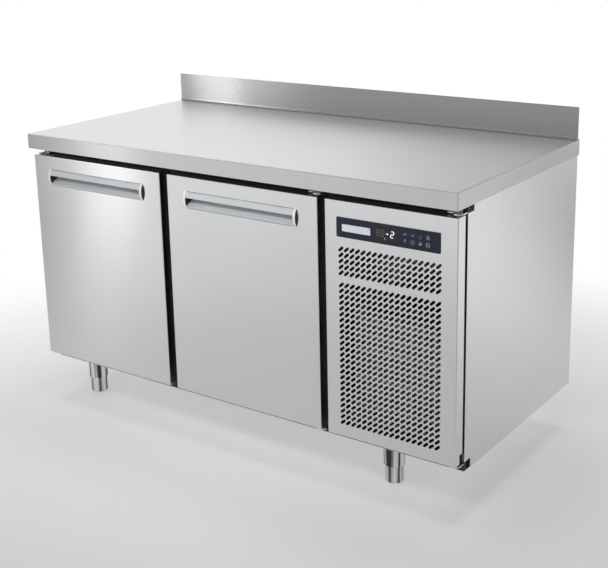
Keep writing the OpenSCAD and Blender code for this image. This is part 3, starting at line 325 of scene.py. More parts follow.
def drawnTube(look):
    # stainless tube drawn through a die and polished; the bright and dark streaks along its length are painted
    # reflections
    material, tree = newMaterial(look["name"])
    coords = addNode(tree, "ShaderNodeTexCoord")
    across, along = 1000 / look["reflectionWidth"], 1000 / look["reflectionLength"]
    drawn = addNode(tree, "ShaderNodeVectorMath", {"operation": "MULTIPLY"},
                    {0: coords.outputs["Object"], 1: (across, across, along)})
    reflectionStreaks = addNode(tree, "ShaderNodeTexNoise", {}, {
        "Vector": drawn.outputs[0], "Scale": 1.0, "Detail": look["reflectionDetail"]})
    contrast = addNode(tree, "ShaderNodeMapRange", {"interpolation_type": "SMOOTHSTEP"}, {
        "Value": reflectionStreaks.outputs[0], "From Min": look["darkBelow"], "From Max": look["lightAbove"]})
    colour = addNode(tree, "ShaderNodeMix", {"data_type": "RGBA"}, {
        0: contrast.outputs["Result"], 6: hexLinear(look["dark"]), 7: hexLinear(look["light"])})
    rough = addNode(tree, "ShaderNodeMapRange", {}, {
        "Value": reflectionStreaks.outputs[0], "To Min": look["roughness"] - look["spread"],
        "To Max": look["roughness"] + look["spread"]})
    steel = addNode(tree, "ShaderNodeBsdfPrincipled", {}, {
        "Base Color": colour.outputs[2], "Metallic": 1.0, "Roughness": rough.outputs[0]})
    showSurface(tree, steel.outputs[0])
    return material


def mouldedPlastic(look):
    # plastic from a spark-eroded mould: an even fine grain that breaks up the shine
    material, tree = newMaterial(look["name"])
    coords = addNode(tree, "ShaderNodeTexCoord")
    grit = addNode(tree, "ShaderNodeTexNoise", {}, {
        "Vector": coords.outputs["Object"], "Scale": 1000 / look["grit"], "Detail": mouldGrain["detail"]})
    patches = addNode(tree, "ShaderNodeTexNoise", {}, {
        "Vector": coords.outputs["Object"], "Scale": mouldGrain["patchesPerMetre"]})
    colour = addNode(tree, "ShaderNodeMix", {"data_type": "RGBA"},
                     {0: patches.outputs[0], 6: hexLinear(look["dark"]), 7: hexLinear(look["light"])})
    if "edgeShade" in look:
        # painted shade: a thin dark line along the upper and lower edge, where the handle meets the door skin
        middle = 0.5
        height = addNode(tree, "ShaderNodeSeparateXYZ", {}, {0: coords.outputs["Generated"]})
        fromMiddle = addNode(tree, "ShaderNodeMath", {"operation": "SUBTRACT"},
                             {0: height.outputs["Z"], 1: middle})
        away = addNode(tree, "ShaderNodeMath", {"operation": "ABSOLUTE"}, {0: fromMiddle.outputs[0]})
        atEdge = addNode(tree, "ShaderNodeMath", {"operation": "GREATER_THAN"},
                         {0: away.outputs[0], 1: middle - look["edgeShadeShare"]})
        colour = addNode(tree, "ShaderNodeMix", {"data_type": "RGBA"},
                         {0: atEdge.outputs[0], 6: colour.outputs[2], 7: hexLinear(look["edgeShade"])})
    rough = addNode(tree, "ShaderNodeMapRange", {}, {
        "Value": grit.outputs[0], "To Min": look["roughness"] - mouldGrain["spread"],
        "To Max": look["roughness"] + mouldGrain["spread"]})
    bump = addNode(tree, "ShaderNodeBump", {}, {
        "Height": grit.outputs[0], "Strength": mouldGrain["relief"], "Distance": mouldGrain["height"] * mm})
    plastic = addNode(tree, "ShaderNodeBsdfPrincipled", {}, {
        "Base Color": colour.outputs[2], "Roughness": rough.outputs[0], "IOR": look["ior"],
        "Normal": bump.outputs[0]})
    showSurface(tree, plastic.outputs[0])
    return material


def capMoulding(look):
    # end cap moulded in ABS with a bright painted front: pale strip; the dark ends, its faces that look along
    # X, are painted shade
    material, tree = newMaterial(look["name"])
    coords = addNode(tree, "ShaderNodeTexCoord")
    grit = addNode(tree, "ShaderNodeTexNoise", {}, {
        "Vector": coords.outputs["Object"], "Scale": 1000 / look["grit"], "Detail": mouldGrain["detail"]})
    facing = addNode(tree, "ShaderNodeSeparateXYZ", {}, {0: coords.outputs["Normal"]})
    sideways = addNode(tree, "ShaderNodeMath", {"operation": "ABSOLUTE"}, {0: facing.outputs["X"]})
    shadedEnd = addNode(tree, "ShaderNodeMapRange", {}, {
        "Value": sideways.outputs[0], "From Min": look["paintTo"], "From Max": look["shadeFrom"]})
    paint = addNode(tree, "ShaderNodeMix", {"data_type": "RGBA"},
                    {0: grit.outputs[0], 6: hexLinear(look["dark"]), 7: hexLinear(look["light"])})
    colour = addNode(tree, "ShaderNodeMix", {"data_type": "RGBA"},
                     {0: shadedEnd.outputs["Result"], 6: paint.outputs[2], 7: hexLinear(look["ends"])})
    rough = addNode(tree, "ShaderNodeMapRange", {}, {
        "Value": grit.outputs[0], "To Min": look["roughness"] - mouldGrain["spread"],
        "To Max": look["roughness"] + mouldGrain["spread"]})
    plastic = addNode(tree, "ShaderNodeBsdfPrincipled", {}, {
        "Base Color": colour.outputs[2], "Roughness": rough.outputs[0], "IOR": look["ior"]})
    showSurface(tree, plastic.outputs[0])
    return material


def cellularSolid(look):
    # foam or pressed flakes: matt, with the cells as tone and as relief
    material, tree = newMaterial(look["name"])
    coords = addNode(tree, "ShaderNodeTexCoord")
    cells = addNode(tree, "ShaderNodeTexVoronoi", {}, {
        "Vector": coords.outputs["Object"], "Scale": 1000 / look["cell"]})
    colour = addNode(tree, "ShaderNodeMix", {"data_type": "RGBA"}, {
        0: cells.outputs["Distance"], 6: hexLinear(look["dark"]), 7: hexLinear(look["light"])})
    bump = addNode(tree, "ShaderNodeBump", {}, {
        "Height": cells.outputs["Distance"], "Strength": look["relief"], "Distance": look["height"] * mm})
    solid = addNode(tree, "ShaderNodeBsdfPrincipled", {}, {
        "Base Color": colour.outputs[2], "Roughness": look["roughness"], "Normal": bump.outputs[0]})
    showSurface(tree, solid.outputs[0])
    return material


def rolledMetal(look):
    # metal rolled or drawn, then handled: soft shine with dull patches; its metallic share is one value for the
    # whole material, set lower for metal that dust or oxide dulls
    material, tree = newMaterial(look["name"])
    coords = addNode(tree, "ShaderNodeTexCoord")
    patches = addNode(tree, "ShaderNodeTexNoise", {}, {
        "Vector": coords.outputs["Object"], "Scale": 1000 / look["patch"], "Detail": metalPatches["detail"]})
    colour = addNode(tree, "ShaderNodeMix", {"data_type": "RGBA"},
                     {0: patches.outputs[0], 6: hexLinear(look["dark"]), 7: hexLinear(look["light"])})
    rough = addNode(tree, "ShaderNodeMapRange", {}, {
        "Value": patches.outputs[0], "To Min": look["roughness"] + metalPatches["spread"],
        "To Max": look["roughness"] - metalPatches["spread"]})
    metal = addNode(tree, "ShaderNodeBsdfPrincipled", {}, {
        "Base Color": colour.outputs[2], "Metallic": look["bare"], "Roughness": rough.outputs[0]})
    showSurface(tree, metal.outputs[0])
    return material


def stovedEnamel(look):
    # black paint baked on steel: glossy, with a slight orange peel
    material, tree = newMaterial(look["name"])
    coords = addNode(tree, "ShaderNodeTexCoord")
    peel = addNode(tree, "ShaderNodeTexNoise", {}, {
        "Vector": coords.outputs["Object"], "Scale": 1000 / look["peel"], "Detail": look["peelDetail"]})
    dust = addNode(tree, "ShaderNodeTexNoise", {}, {
        "Vector": coords.outputs["Object"], "Scale": 1000 / look["dust"], "Detail": look["dustDetail"]})
    colour = addNode(tree, "ShaderNodeMix", {"data_type": "RGBA"},
                     {0: dust.outputs[0], 6: hexLinear(look["dark"]), 7: hexLinear(look["light"])})
    bump = addNode(tree, "ShaderNodeBump", {}, {
        "Height": peel.outputs[0], "Strength": look["relief"], "Distance": look["height"] * mm})
    enamel = addNode(tree, "ShaderNodeBsdfPrincipled", {}, {
        "Base Color": colour.outputs[2], "Roughness": look["roughness"], "Normal": bump.outputs[0]})
    showSurface(tree, enamel.outputs[0])
    return material


def printedPolycarbonate(look):
    # clear polycarbonate film printed on its back: even dark colour under a smooth gloss
    material, tree = newMaterial(look["name"])
    coords = addNode(tree, "ShaderNodeTexCoord")
    film = addNode(tree, "ShaderNodeTexNoise", {}, {
        "Vector": coords.outputs["Object"], "Scale": filmPatches["perMetre"], "Detail": filmPatches["detail"]})
    colour = addNode(tree, "ShaderNodeMix", {"data_type": "RGBA"},
                     {0: film.outputs[0], 6: hexLinear(look["dark"]), 7: hexLinear(look["light"])})
    rough = addNode(tree, "ShaderNodeMapRange", {}, {
        "Value": film.outputs[0], "To Min": look["roughness"] - filmPatches["spread"],
        "To Max": look["roughness"] + filmPatches["spread"]})
    gloss = addNode(tree, "ShaderNodeBsdfPrincipled", {}, {
        "Base Color": colour.outputs[2], "Roughness": rough.outputs[0], "IOR": polycarbonateIor,
        "Specular IOR Level": look["gloss"]})
    showSurface(tree, gloss.outputs[0])
    return material


def litSegment(look):
    # light-emitting segment behind a diffuser: white glow, very slightly uneven
    material, tree = newMaterial(look["name"])
    coords = addNode(tree, "ShaderNodeTexCoord")
    spread = addNode(tree, "ShaderNodeTexNoise", {}, {
        "Vector": coords.outputs["Object"], "Scale": look["patchesPerMetre"]})
    colour = addNode(tree, "ShaderNodeMix", {"data_type": "RGBA"},
                     {0: spread.outputs[0], 6: hexLinear(look["dark"]), 7: hexLinear(look["light"])})
    glow = addNode(tree, "ShaderNodeBsdfPrincipled", {}, {
        "Base Color": hexLinear(look["light"]), "Roughness": look["roughness"],
        "Emission Color": colour.outputs[2], "Emission Strength": look["strength"]})
    showSurface(tree, glow.outputs[0])
    return material


satinSheet = brushedStainless({"name": "brushed stainless sheet", "dark": "#d6d7d8", "light": "#dcddde",
                               "roughness": 0.21, "anisotropic": 1.0, "bare": 1.0, "lineLength": 500,
                               "lineDepth": 0.03})
# the worktop's and the upstand's copies of the brushed sheet are drawn darker than the door sheet: painted
# shade
satinTop = brushedStainless({"name": "brushed stainless worktop", "dark": "#c3c4c5", "light": "#c9cacb",
                             "roughness": 0.21, "anisotropic": 1.0, "bare": 0.7, "lineLength": 700,
                             "lineDepth": 0.02, "worn": {"Roughness": 0.42, "Anisotropic": 0.3}})
satinUpstand = brushedStainless({"name": "brushed stainless upstand", "dark": "#b3b4b5", "light": "#b9babb",
                                 "roughness": 0.26, "anisotropic": 1.0, "bare": 1.0, "lineLength": 700,
                                 "lineDepth": 0.02})
# the feet's bright and dark streaks are painted reflections
footSteel = drawnTube({"name": "drawn stainless tube", "dark": "#3a3c3e", "light": "#e6e7e8",
                       "roughness": 0.14, "spread": 0.05, "reflectionWidth": 14, "reflectionLength": 900,
                       "reflectionDetail": 1.5, "darkBelow": 0.38, "lightAbove": 0.62})
blackAbs = mouldedPlastic({"name": "moulded black ABS", "dark": "#0d0f10", "light": "#15181a",
                           "roughness": 0.55, "ior": plasticIor, "grit": 1.5})
greyAbs = mouldedPlastic({"name": "moulded grey ABS", "dark": "#484a4c", "light": "#545658",
                          "roughness": 0.5, "ior": plasticIor, "grit": 1.5})
whiteNylon = mouldedPlastic({"name": "turned white nylon", "dark": "#dcdcd8", "light": "#e9e9e5",
                             "roughness": 0.45, "ior": plasticIor, "grit": 1})
# the handle's thin dark lines along its upper and lower edge are painted shade
handleAbs = mouldedPlastic({"name": "moulded silver-grey ABS", "dark": "#cdd0d2", "light": "#d5d8da",
                            "roughness": 0.32, "ior": plasticIor, "grit": 1, "edgeShade": "#2b2d2f",
                            "edgeShadeShare": 0.025})
# the caps' dark end faces are painted shade
capAbs = capMoulding({"name": "moulded ABS end cap", "dark": "#f1f1f2", "light": "#f9f9fa", "ends": "#2c2e30",
                      "paintTo": 0.75, "shadeFrom": 0.9, "roughness": 0.25, "ior": plasticIor, "grit": 1})
gasketPvc = mouldedPlastic({"name": "extruded grey PVC", "dark": "#57595b", "light": "#626466",
                            "roughness": 0.5, "ior": plasticIor, "grit": 2})
mountRubber = mouldedPlastic({"name": "moulded nitrile rubber", "dark": "#151515", "light": "#1d1d1d",
                              "roughness": 0.75, "ior": rubberIor, "grit": 1})
# foam, cut: cream-coloured, with small open cells
cabinetFoam = cellularSolid({"name": "rigid polyurethane foam", "dark": "#cdb982", "light": "#e6d7a6",
                             "roughness": 0.9, "cell": 2, "relief": 0.4, "height": 1.0})
# waterproof board faced with phenolic film: near-black brown, faint flakes beneath
topBoard = cellularSolid({"name": "film-faced board", "dark": "#161311", "light": "#221d1a",
                          "roughness": 0.75, "cell": 4, "relief": 0.2, "height": 0.5})
finAluminium = rolledMetal({"name": "rolled aluminium fin", "dark": "#a8aaac", "light": "#c8cacc",
                            "roughness": 0.4, "patch": 60, "bare": 0.7})
shelfWire = rolledMetal({"name": "drawn bright wire", "dark": "#c2c3c5", "light": "#d9dadc",
                         "roughness": 0.2, "patch": 90, "bare": 1.0})
lineCopper = rolledMetal({"name": "drawn copper tube", "dark": "#4a2c1f", "light": "#7a4c36",
                          "roughness": 0.42, "patch": 40, "bare": 1.0})
unitEnamel = stovedEnamel({"name": "black stoved enamel", "dark": "#101112", "light": "#1d1e20",
                           "roughness": 0.3, "peel": 3, "peelDetail": 1.0, "dust": 50, "dustDetail": 5.0,
                           "relief": 0.1, "height": 0.5})
fasciaFilm = printedPolycarbonate({"name": "navy printed polycarbonate", "dark": "#10172a", "light": "#141c30",
                                   "roughness": 0.2, "gloss": 0.25})
windowFilm = printedPolycarbonate({"name": "smoked display window", "dark": "#1b1b1e", "light": "#202023",
                                   "roughness": 0.15, "gloss": 0.25})
badgeFilm = printedPolycarbonate({"name": "pale printed plate", "dark": "#dde4ec", "light": "#eef2f6",
                                  "roughness": 0.3, "gloss": 0.5})
dimSegments = printedPolycarbonate({"name": "unlit display segment", "dark": "#625c57", "light": "#706963",
                                    "roughness": 0.3, "gloss": 0.25})
iconInk = printedPolycarbonate({"name": "pale grey screen ink", "dark": "#a4acbd", "light": "#bcc3d1",
                                "roughness": 0.4, "gloss": 0.5})
whiteGlow = litSegment({"name": "lit white segment", "dark": "#e6eaee", "light": "#ffffff", "roughness": 0.4,
                        "strength": 0.9, "patchesPerMetre": 300.0})

slotFinish = {"satin_steel": satinSheet, "wire": shelfWire, "black_plastic": blackAbs, "grey_plastic": greyAbs,
              "white_plastic": whiteNylon, "cap_plastic": capAbs, "fascia": fasciaFilm, "foam": cabinetFoam,
              "core_board": topBoard, "gasket": gasketPvc, "rubber": mountRubber, "fin_aluminium": finAluminium,
              "black_enamel": unitEnamel, "copper": lineCopper}
nodeFinish = {"left_door_handle": handleAbs, "right_door_handle": handleAbs, "foot_sleeves": footSteel,
              "foot_front_left": footSteel, "foot_front_right": footSteel, "foot_rear_left": footSteel,
              "foot_rear_right": footSteel, "upstand": satinUpstand}
print("materials:", len(bpy.data.materials))


# finish of the pieces that come from the frame

edgeRounding = {
    "upstand": 0.7, "left_side_panel": 0.5, "right_side_panel": 0.5, "back_panel": 0.4, "base_panel": 0.4,
    "partition_panel": 0.4, "front_frame": 0.8, "unit_tray": 0.6, "fan_shroud": 0.4, "electrical_box": 3,
    "controller": 1.5, "hinge_brackets": 0.5, "motor_bracket": 0.5, "left_door_liner": 0.4,
    "right_door_liner": 0.4, "inner_liner": 0.4, "evaporator_casing": 0.4, "left_door_handle": 0.5,
    "right_door_handle": 0.5, "left_door_handle_caps": 1.2, "right_door_handle_caps": 1.2,
}
weldWithin = 0.01 * mm
edgeSegments = 2
roundedFrom, sharpFrom = math.radians(35), math.radians(40)


def finishFrameNode(name, slot):
    node = nodes[name]
    node.data.materials.clear()
    node.data.materials.append(nodeFinish.get(name, slotFinish[slot]))
    if name in edgeRounding:
        weld = node.modifiers.new("weld", "WELD")
        weld.merge_threshold = weldWithin
        bevel = node.modifiers.new("rounded edges", "BEVEL")
        bevel.width = edgeRounding[name] * mm
        bevel.segments = edgeSegments
        bevel.limit_method = "ANGLE"
        bevel.angle_limit = roundedFrom
        bevel.harden_normals = False
        node.modifiers.new("flat faces", "WEIGHTED_NORMAL").keep_sharp = True


for subpart in frame["record"]["subparts"]:
    finishFrameNode(subpart["node"], subpart["material_slot"])
print("frame finished")


# helpers for new pieces

cutPast = 10 * mm  # how far a cut reaches beyond the sheet
cutCorners = 32
edgePoints = 3  # between the corners of a cell, where cells have slots


def newPiece(name, bm, material, body, stands=()):
    mesh = bpy.data.meshes.new(name)
    bm.to_mesh(mesh)
    bm.free()
    mesh.materials.append(material)
    piece = bpy.data.objects.new(name, mesh)
    scene.collection.objects.link(piece)
    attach(piece, body)
    if stands:
        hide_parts(*stands)
    return piece


def frontPlane(y):
    return lambda u, v, w: Vector((u, y - w, v))


def topPlane(z):
    return lambda u, v, w: Vector((u, v, z + w))


def gridPoints(lines, between):
    # grid lines with the same number of points between each pair
    points = []
    for low, high in zip(lines, lines[1:]):
        points += [low + (high - low) * i / (between + 1) for i in range(between + 1)]
    return points + [lines[-1]]


def foldedSheet(us, vs, bend, depth, place, openCells=(), slotCells=(), slot=None, steps=4):
    # one sheet: a flat face of grid cells, some open or slotted, then a bend and a fold all round
    bm = bmesh.new()
    verts = {}
    between = edgePoints if slotCells else 0

    def vertex(u, v, w=0.0):
        key = tuple(round(part, 7) for part in (u, v, w))
        if key not in verts:
            verts[key] = bm.verts.new(place(u, v, w))
        return verts[key]

    def edgeLoop(i, j):
        u = gridPoints([us[i], us[i + 1]], between)
        v = gridPoints([vs[j], vs[j + 1]], between)
        return ([(a, v[0]) for a in u[:-1]] + [(u[-1], b) for b in v[:-1]]
                + [(a, v[-1]) for a in reversed(u[1:])] + [(u[0], b) for b in reversed(v[1:])])

    for i in range(len(us) - 1):
        for j in range(len(vs) - 1):
            if (i, j) in openCells:
                continue
            loop = edgeLoop(i, j)
            if (i, j) not in slotCells:
                bm.faces.new([vertex(*p) for p in loop])
                continue
            middle = ((us[i] + us[i + 1]) / 2, (vs[j] + vs[j + 1]) / 2)
            hole = slotLoop(middle, slot, loop)
            for k in range(len(loop)):
                k2 = (k + 1) % len(loop)
                bm.faces.new([vertex(*loop[k]), vertex(*loop[k2]), vertex(*hole[k2]), vertex(*hole[k])])

    # columns of the bend: a point on the flat face's edge and the way out from it
    uPoints, vPoints = gridPoints(us, between), gridPoints(vs, between)
    sides = [([(u, vs[0]) for u in uPoints], -90), ([(us[-1], v) for v in vPoints], 0),
             ([(u, vs[-1]) for u in reversed(uPoints)], 90), ([(us[0], v) for v in reversed(vPoints)], 180)]
    columns = []
    for points, turn in sides:
        columns += [(p, turn) for p in points]
        columns += [(points[-1], turn + 90 * k / steps) for k in range(1, steps)]
    turns = [math.radians(90 * k / steps) for k in range(steps + 1)]
    profile = [(bend * math.sin(a), bend * (1 - math.cos(a))) for a in turns] + [(bend, depth)]
    strips = []
    for (u, v), turn in columns:
        du, dv = math.cos(math.radians(turn)), math.sin(math.radians(turn))
        strips.append([vertex(u + du * out, v + dv * out, -down) for out, down in profile])
    for a, b in zip(strips, strips[1:] + strips[:1]):
        for k in range(len(profile) - 1):
            corners = []
            for corner in (a[k], a[k + 1], b[k + 1], b[k]):
                if corner not in corners:
                    corners.append(corner)
            if len(corners) > 2:
                bm.faces.new(corners)
    bmesh.ops.recalc_face_normals(bm, faces=bm.faces)
    return bm


def slotLoop(middle, slot, loop):
    # rounded slot round a cell's middle, with one point for each point of the cell's edge
    half, radius, lean = slot["reach"], slot["width"] / 2, math.radians(slot["lean"])
    count = len(loop)
    outline = []
    for k in range(count):
        end = 1 if k < count / 2 else -1
        turn = math.radians(-90 + 180 * (k % (count // 2)) / (count / 2 - 1))
        a, b = end * (half + radius * math.cos(turn)), end * radius * math.sin(turn)
        outline.append((middle[0] + a * math.cos(lean) - b * math.sin(lean),
                        middle[1] + a * math.sin(lean) + b * math.cos(lean)))

    def heading(p):
        return math.atan2(p[1] - middle[1], p[0] - middle[0])

    first = heading(loop[0])
    start = min(range(count), key=lambda k: abs(math.remainder(heading(outline[k]) - first, 2 * math.pi)))
    return outline[start:] + outline[:start]


def sheetThickness(piece, thickness):
    solid = piece.modifiers.new("sheet", "SOLIDIFY")
    solid.thickness = thickness
    solid.offset = -1
    solid.use_even_offset = True


def cutAway(piece, boxes=(), rounds=()):
    # takes boxes (low, high) and upright rounds (x, y, z0, z1, radius) out of a closed sheet
    bm = bmesh.new()
    for low, high in boxes:
        made = bmesh.ops.create_cube(bm, size=1)
        for vert in made["verts"]:
            vert.co = Vector([low[k] + (high[k] - low[k]) * (vert.co[k] + 0.5) for k in range(3)])
    for x, y, z0, z1, radius in rounds:
        made = bmesh.ops.create_cone(bm, cap_ends=True, segments=cutCorners, radius1=radius, radius2=radius,
                                     depth=z1 - z0)
        bmesh.ops.translate(bm, verts=made["verts"], vec=(x, y, (z0 + z1) / 2))
    mesh = bpy.data.meshes.new("cutter")
    bm.to_mesh(mesh)
    bm.free()
    cutter = bpy.data.objects.new("cutter", mesh)
    scene.collection.objects.link(cutter)
    cut = piece.modifiers.new("cut", "BOOLEAN")
    cut.operation = "DIFFERENCE"
    cut.solver = "EXACT"
    cut.object = cutter
    bpy.context.view_layer.update()
    shape = bpy.data.meshes.new_from_object(piece.evaluated_get(bpy.context.evaluated_depsgraph_get()))
    piece.modifiers.clear()
    piece.data = shape
    bpy.data.objects.remove(cutter)


def smoothBends(piece):
    for face in piece.data.polygons:
        face.use_smooth = True
    piece.data.set_sharp_from_angle(angle=sharpFrom)
    piece.modifiers.new("flat faces", "WEIGHTED_NORMAL").keep_sharp = True


# worktop: one sheet folded down on all sides

worktopShape = {"bend": 2.2, "sheet": 1.5}


def makeWorktop(shape):
    low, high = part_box("worktop")
    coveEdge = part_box("upstand")[0].y
    bend = shape["bend"] * mm
    bm = foldedSheet([low.x + bend, high.x - bend], [low.y + bend, high.y - bend], bend, high.z - low.z,
                     topPlane(high.z))
    piece = newPiece("worktop_sheet", bm, satinTop, "cabinet", ["worktop"])
    sheetThickness(piece, shape["sheet"] * mm)
    # the rear strip belongs to the upstand
    cutAway(piece, boxes=[((low.x - cutPast, coveEdge, high.z - shape["sheet"] * mm),
                           (high.x + cutPast, high.y + cutPast, high.z + cutPast))])
    smoothBends(piece)


makeWorktop(worktopShape)
print("worktop folded")


# door skins: folded sheets with an opening behind the handle

doorShape = {"bend": 2.5, "sheet": 1.0, "openingBelow": 2, "openingAbove": 12, "bushRadius": 9.1}


def makeDoorSkin(side, shape):
    low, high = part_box(side + "_door_skin")
    capLow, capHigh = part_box(side + "_door_handle_caps")
    bushLow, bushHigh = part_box(side + "_door_bushes")
    bend = shape["bend"] * mm
    us = [low.x + bend, capLow.x, capHigh.x, high.x - bend]
    vs = [low.z + bend, capLow.z + shape["openingBelow"] * mm, capHigh.z - shape["openingAbove"] * mm,
          high.z - bend]
    bm = foldedSheet(us, vs, bend, high.y - low.y, frontPlane(low.y), openCells={(1, 1)})
    piece = newPiece(side + "_door_sheet", bm, satinSheet, side + "_door", [side + "_door_skin"])
    sheetThickness(piece, shape["sheet"] * mm)
    x, y = (bushLow.x + bushHigh.x) / 2, (bushLow.y + bushHigh.y) / 2
    cutAway(piece, rounds=[(x, y, z - cutPast, z + cutPast, shape["bushRadius"] * mm)
                           for z in (bushLow.z, bushHigh.z)])
    smoothBends(piece)


for side in ("left", "right"):
    makeDoorSkin(side, doorShape)
print("doors skinned")


# service panel: folded sheet with two blocks of leaning slots, cut away at its lower hinge

servicePanel = {
    "bend": 2.5, "sheet": 0.9, "columns": 18, "rowsTop": 5, "rowsLow": 25, "pitchX": 16, "pitchZ": 15.3,
    "slotLength": 18.2, "slotWidth": 7.2, "lean": 42, "fromFascia": 3.5, "belowFascia": 24, "blockGap": 31.5,
    "cutWidth": 3.5, "cutDepth": 14, "cutHeight": 26, "pinX": 12, "pinY": 12, "pinRadius": 4.05,
}


def makeServicePanel(shape):
    low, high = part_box("service_panel")
    fasciaLow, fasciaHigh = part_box("control_fascia")
    bend = shape["bend"] * mm
    reach = (shape["slotLength"] - shape["slotWidth"]) / 2 * mm
    lean = math.radians(shape["lean"])
    pitchX, pitchZ = shape["pitchX"] * mm, shape["pitchZ"] * mm
    firstX = fasciaLow.x + (shape["fromFascia"] + shape["slotWidth"] / 2) * mm + reach * math.cos(lean)
    topZ = fasciaLow.z - (shape["belowFascia"] + shape["slotWidth"] / 2) * mm - reach * math.sin(lean)
    lowZ = topZ - (shape["rowsTop"] - 1) * pitchZ - shape["blockGap"] * mm
    columns = [firstX + (i - 0.5) * pitchX for i in range(shape["columns"] + 1)]
    us = [low.x + bend] + columns + [high.x - bend]
    lowLines = [lowZ - (shape["rowsLow"] - 0.5 - j) * pitchZ for j in range(shape["rowsLow"] + 1)]
    topLines = [topZ - (shape["rowsTop"] - 0.5 - j) * pitchZ for j in range(shape["rowsTop"] + 1)]
    vs = [low.z + bend] + lowLines + topLines + [high.z - bend]
    lowRows = range(1, 1 + shape["rowsLow"])
    topRows = range(2 + shape["rowsLow"], 2 + shape["rowsLow"] + shape["rowsTop"])
    slots = {(i, j) for i in range(1, 1 + shape["columns"]) for j in (*lowRows, *topRows)}
    bm = foldedSheet(us, vs, bend, high.y - low.y, frontPlane(low.y), slotCells=slots,
                     slot={"reach": reach, "width": shape["slotWidth"] * mm, "lean": shape["lean"]})
    piece = newPiece("service_panel_sheet", bm, satinSheet, "service_panel", ["service_panel"])
    sheetThickness(piece, shape["sheet"] * mm)
    pinX, pinY = high.x - shape["pinX"] * mm, high.y - shape["pinY"] * mm
    cutLow = (high.x - shape["cutWidth"] * mm, high.y - shape["cutDepth"] * mm, low.z + shape["sheet"] * mm)
    cutHigh = (high.x + cutPast, high.y + cutPast, low.z + shape["cutHeight"] * mm)
    cutAway(piece, boxes=[(cutLow, cutHigh)],
            rounds=[(pinX, pinY, z - cutPast, z + cutPast, shape["pinRadius"] * mm) for z in (low.z, high.z)])
    smoothBends(piece)


makeServicePanel(servicePanel)
print("service panel slotted")


# control fascia: film-covered plate, display window, digits, touch symbols and a bare badge plate

fascia = {
    "corner": 1.5, "edge": 0.5, "print": 0.12,
    "badge": (17, 98, 16, 34),  # left, right, low, high, from the fascia's lower left corner
    "badgeCorner": 1, "badgeRise": 6, "badgeEdge": 2,  # rises and this edge are in layers of print
    "window": (112, 176, 11, 40), "windowCorner": 1.5,
    "digitHeight": 15, "digitWidth": 8, "digitLow": 19.5, "digitRise": 2,
    "stroke": 1.7, "strokeGap": 0.2, "slant": 0.08,
    "digits": [(114.5, "abcdefg", False), (127.5, "abcdefg", False), (141, "g", True), (154.5, "abged", True)],
    "dot": (138.5, 14.5, 0.9),
    "degree": (170, 33.5, 1.3), "degreeLine": 0.6, "discSteps": 12,
    "symbolX": (194, 214.5, 235, 255.5), "symbolZ": (33.5, 16.5), "symbolSize": 5.6, "line": 0.95,
    "lampDrop": 1.2, "lampRadius": 1.0,
}
lineEnd = 0.3  # share of a printed line's width by which its ends reach on


def roundedOutline(left, right, low, high, radius, steps=4):
    points = []
    for x, z, turn in ((right - radius, low + radius, -90), (right - radius, high - radius, 0),
                       (left + radius, high - radius, 90), (left + radius, low + radius, 180)):
        for k in range(steps + 1):
            a = math.radians(turn + 90 * k / steps)
            points.append((x + radius * math.cos(a), z + radius * math.sin(a)))
    return points


def addPlate(bm, outline, front, back, edge=0.0):
    # upright plate from an outline in X and Z, with its front edge rounded
    faceVerts = [bm.verts.new((x, front, z)) for x, z in outline]
    backVerts = [bm.verts.new((x, back, z)) for x, z in outline]
    face = bm.faces.new(faceVerts)
    bm.faces.new(list(reversed(backVerts)))
    for k in range(len(outline)):
        k2 = (k + 1) % len(outline)
        bm.faces.new([faceVerts[k2], faceVerts[k], backVerts[k], backVerts[k2]])
    if edge:
        bmesh.ops.bevel(bm, geom=list(face.edges), offset=edge, segments=3, profile=0.5, affect="EDGES")


def addLine(bm, points, width, front, back):
    # printed line: each stretch is a plate with square ends
    for a, b in zip(points, points[1:]):
        way = (Vector(b) - Vector(a)).normalized()
        side = Vector((-way.y, way.x)) * width / 2
        end = way * width * lineEnd
        a2, b2 = Vector(a) - end, Vector(b) + end
        addPlate(bm, [tuple(a2 - side), tuple(b2 - side), tuple(b2 + side), tuple(a2 + side)], front, back)


def circlePoints(x, z, radius, first=0, last=360, steps=20):
    turns = [math.radians(first + (last - first) * k / steps) for k in range(steps + 1)]
    return [(x + radius * math.cos(a), z + radius * math.sin(a)) for a in turns]


def addDigit(bm, left, segments, shape, x0, z0, front, back):
    w, h, t = shape["digitWidth"], shape["digitHeight"], shape["stroke"]
    ends = {"a": ((0, h), (w, h)), "b": ((w, h), (w, h / 2)), "c": ((w, h / 2), (w, 0)), "d": ((0, 0), (w, 0)),
            "e": ((0, h / 2), (0, 0)), "f": ((0, h), (0, h / 2)), "g": ((0, h / 2), (w, h / 2))}
    for letter in segments:
        a, b = (Vector(p) for p in ends[letter])
        way = (b - a).normalized()
        side = Vector((-way.y, way.x)) * t / 2
        a, b = a + way * t * shape["strokeGap"], b - way * t * shape["strokeGap"]
        tip = way * t / 2
        outline = [a, a + tip - side, b - tip - side, b, b - tip + side, a + tip + side]
        addPlate(bm, [(x0 + (left + p.x + p.y * shape["slant"]) * mm, z0 + (shape["digitLow"] + p.y) * mm)
                      for p in outline], front, back)


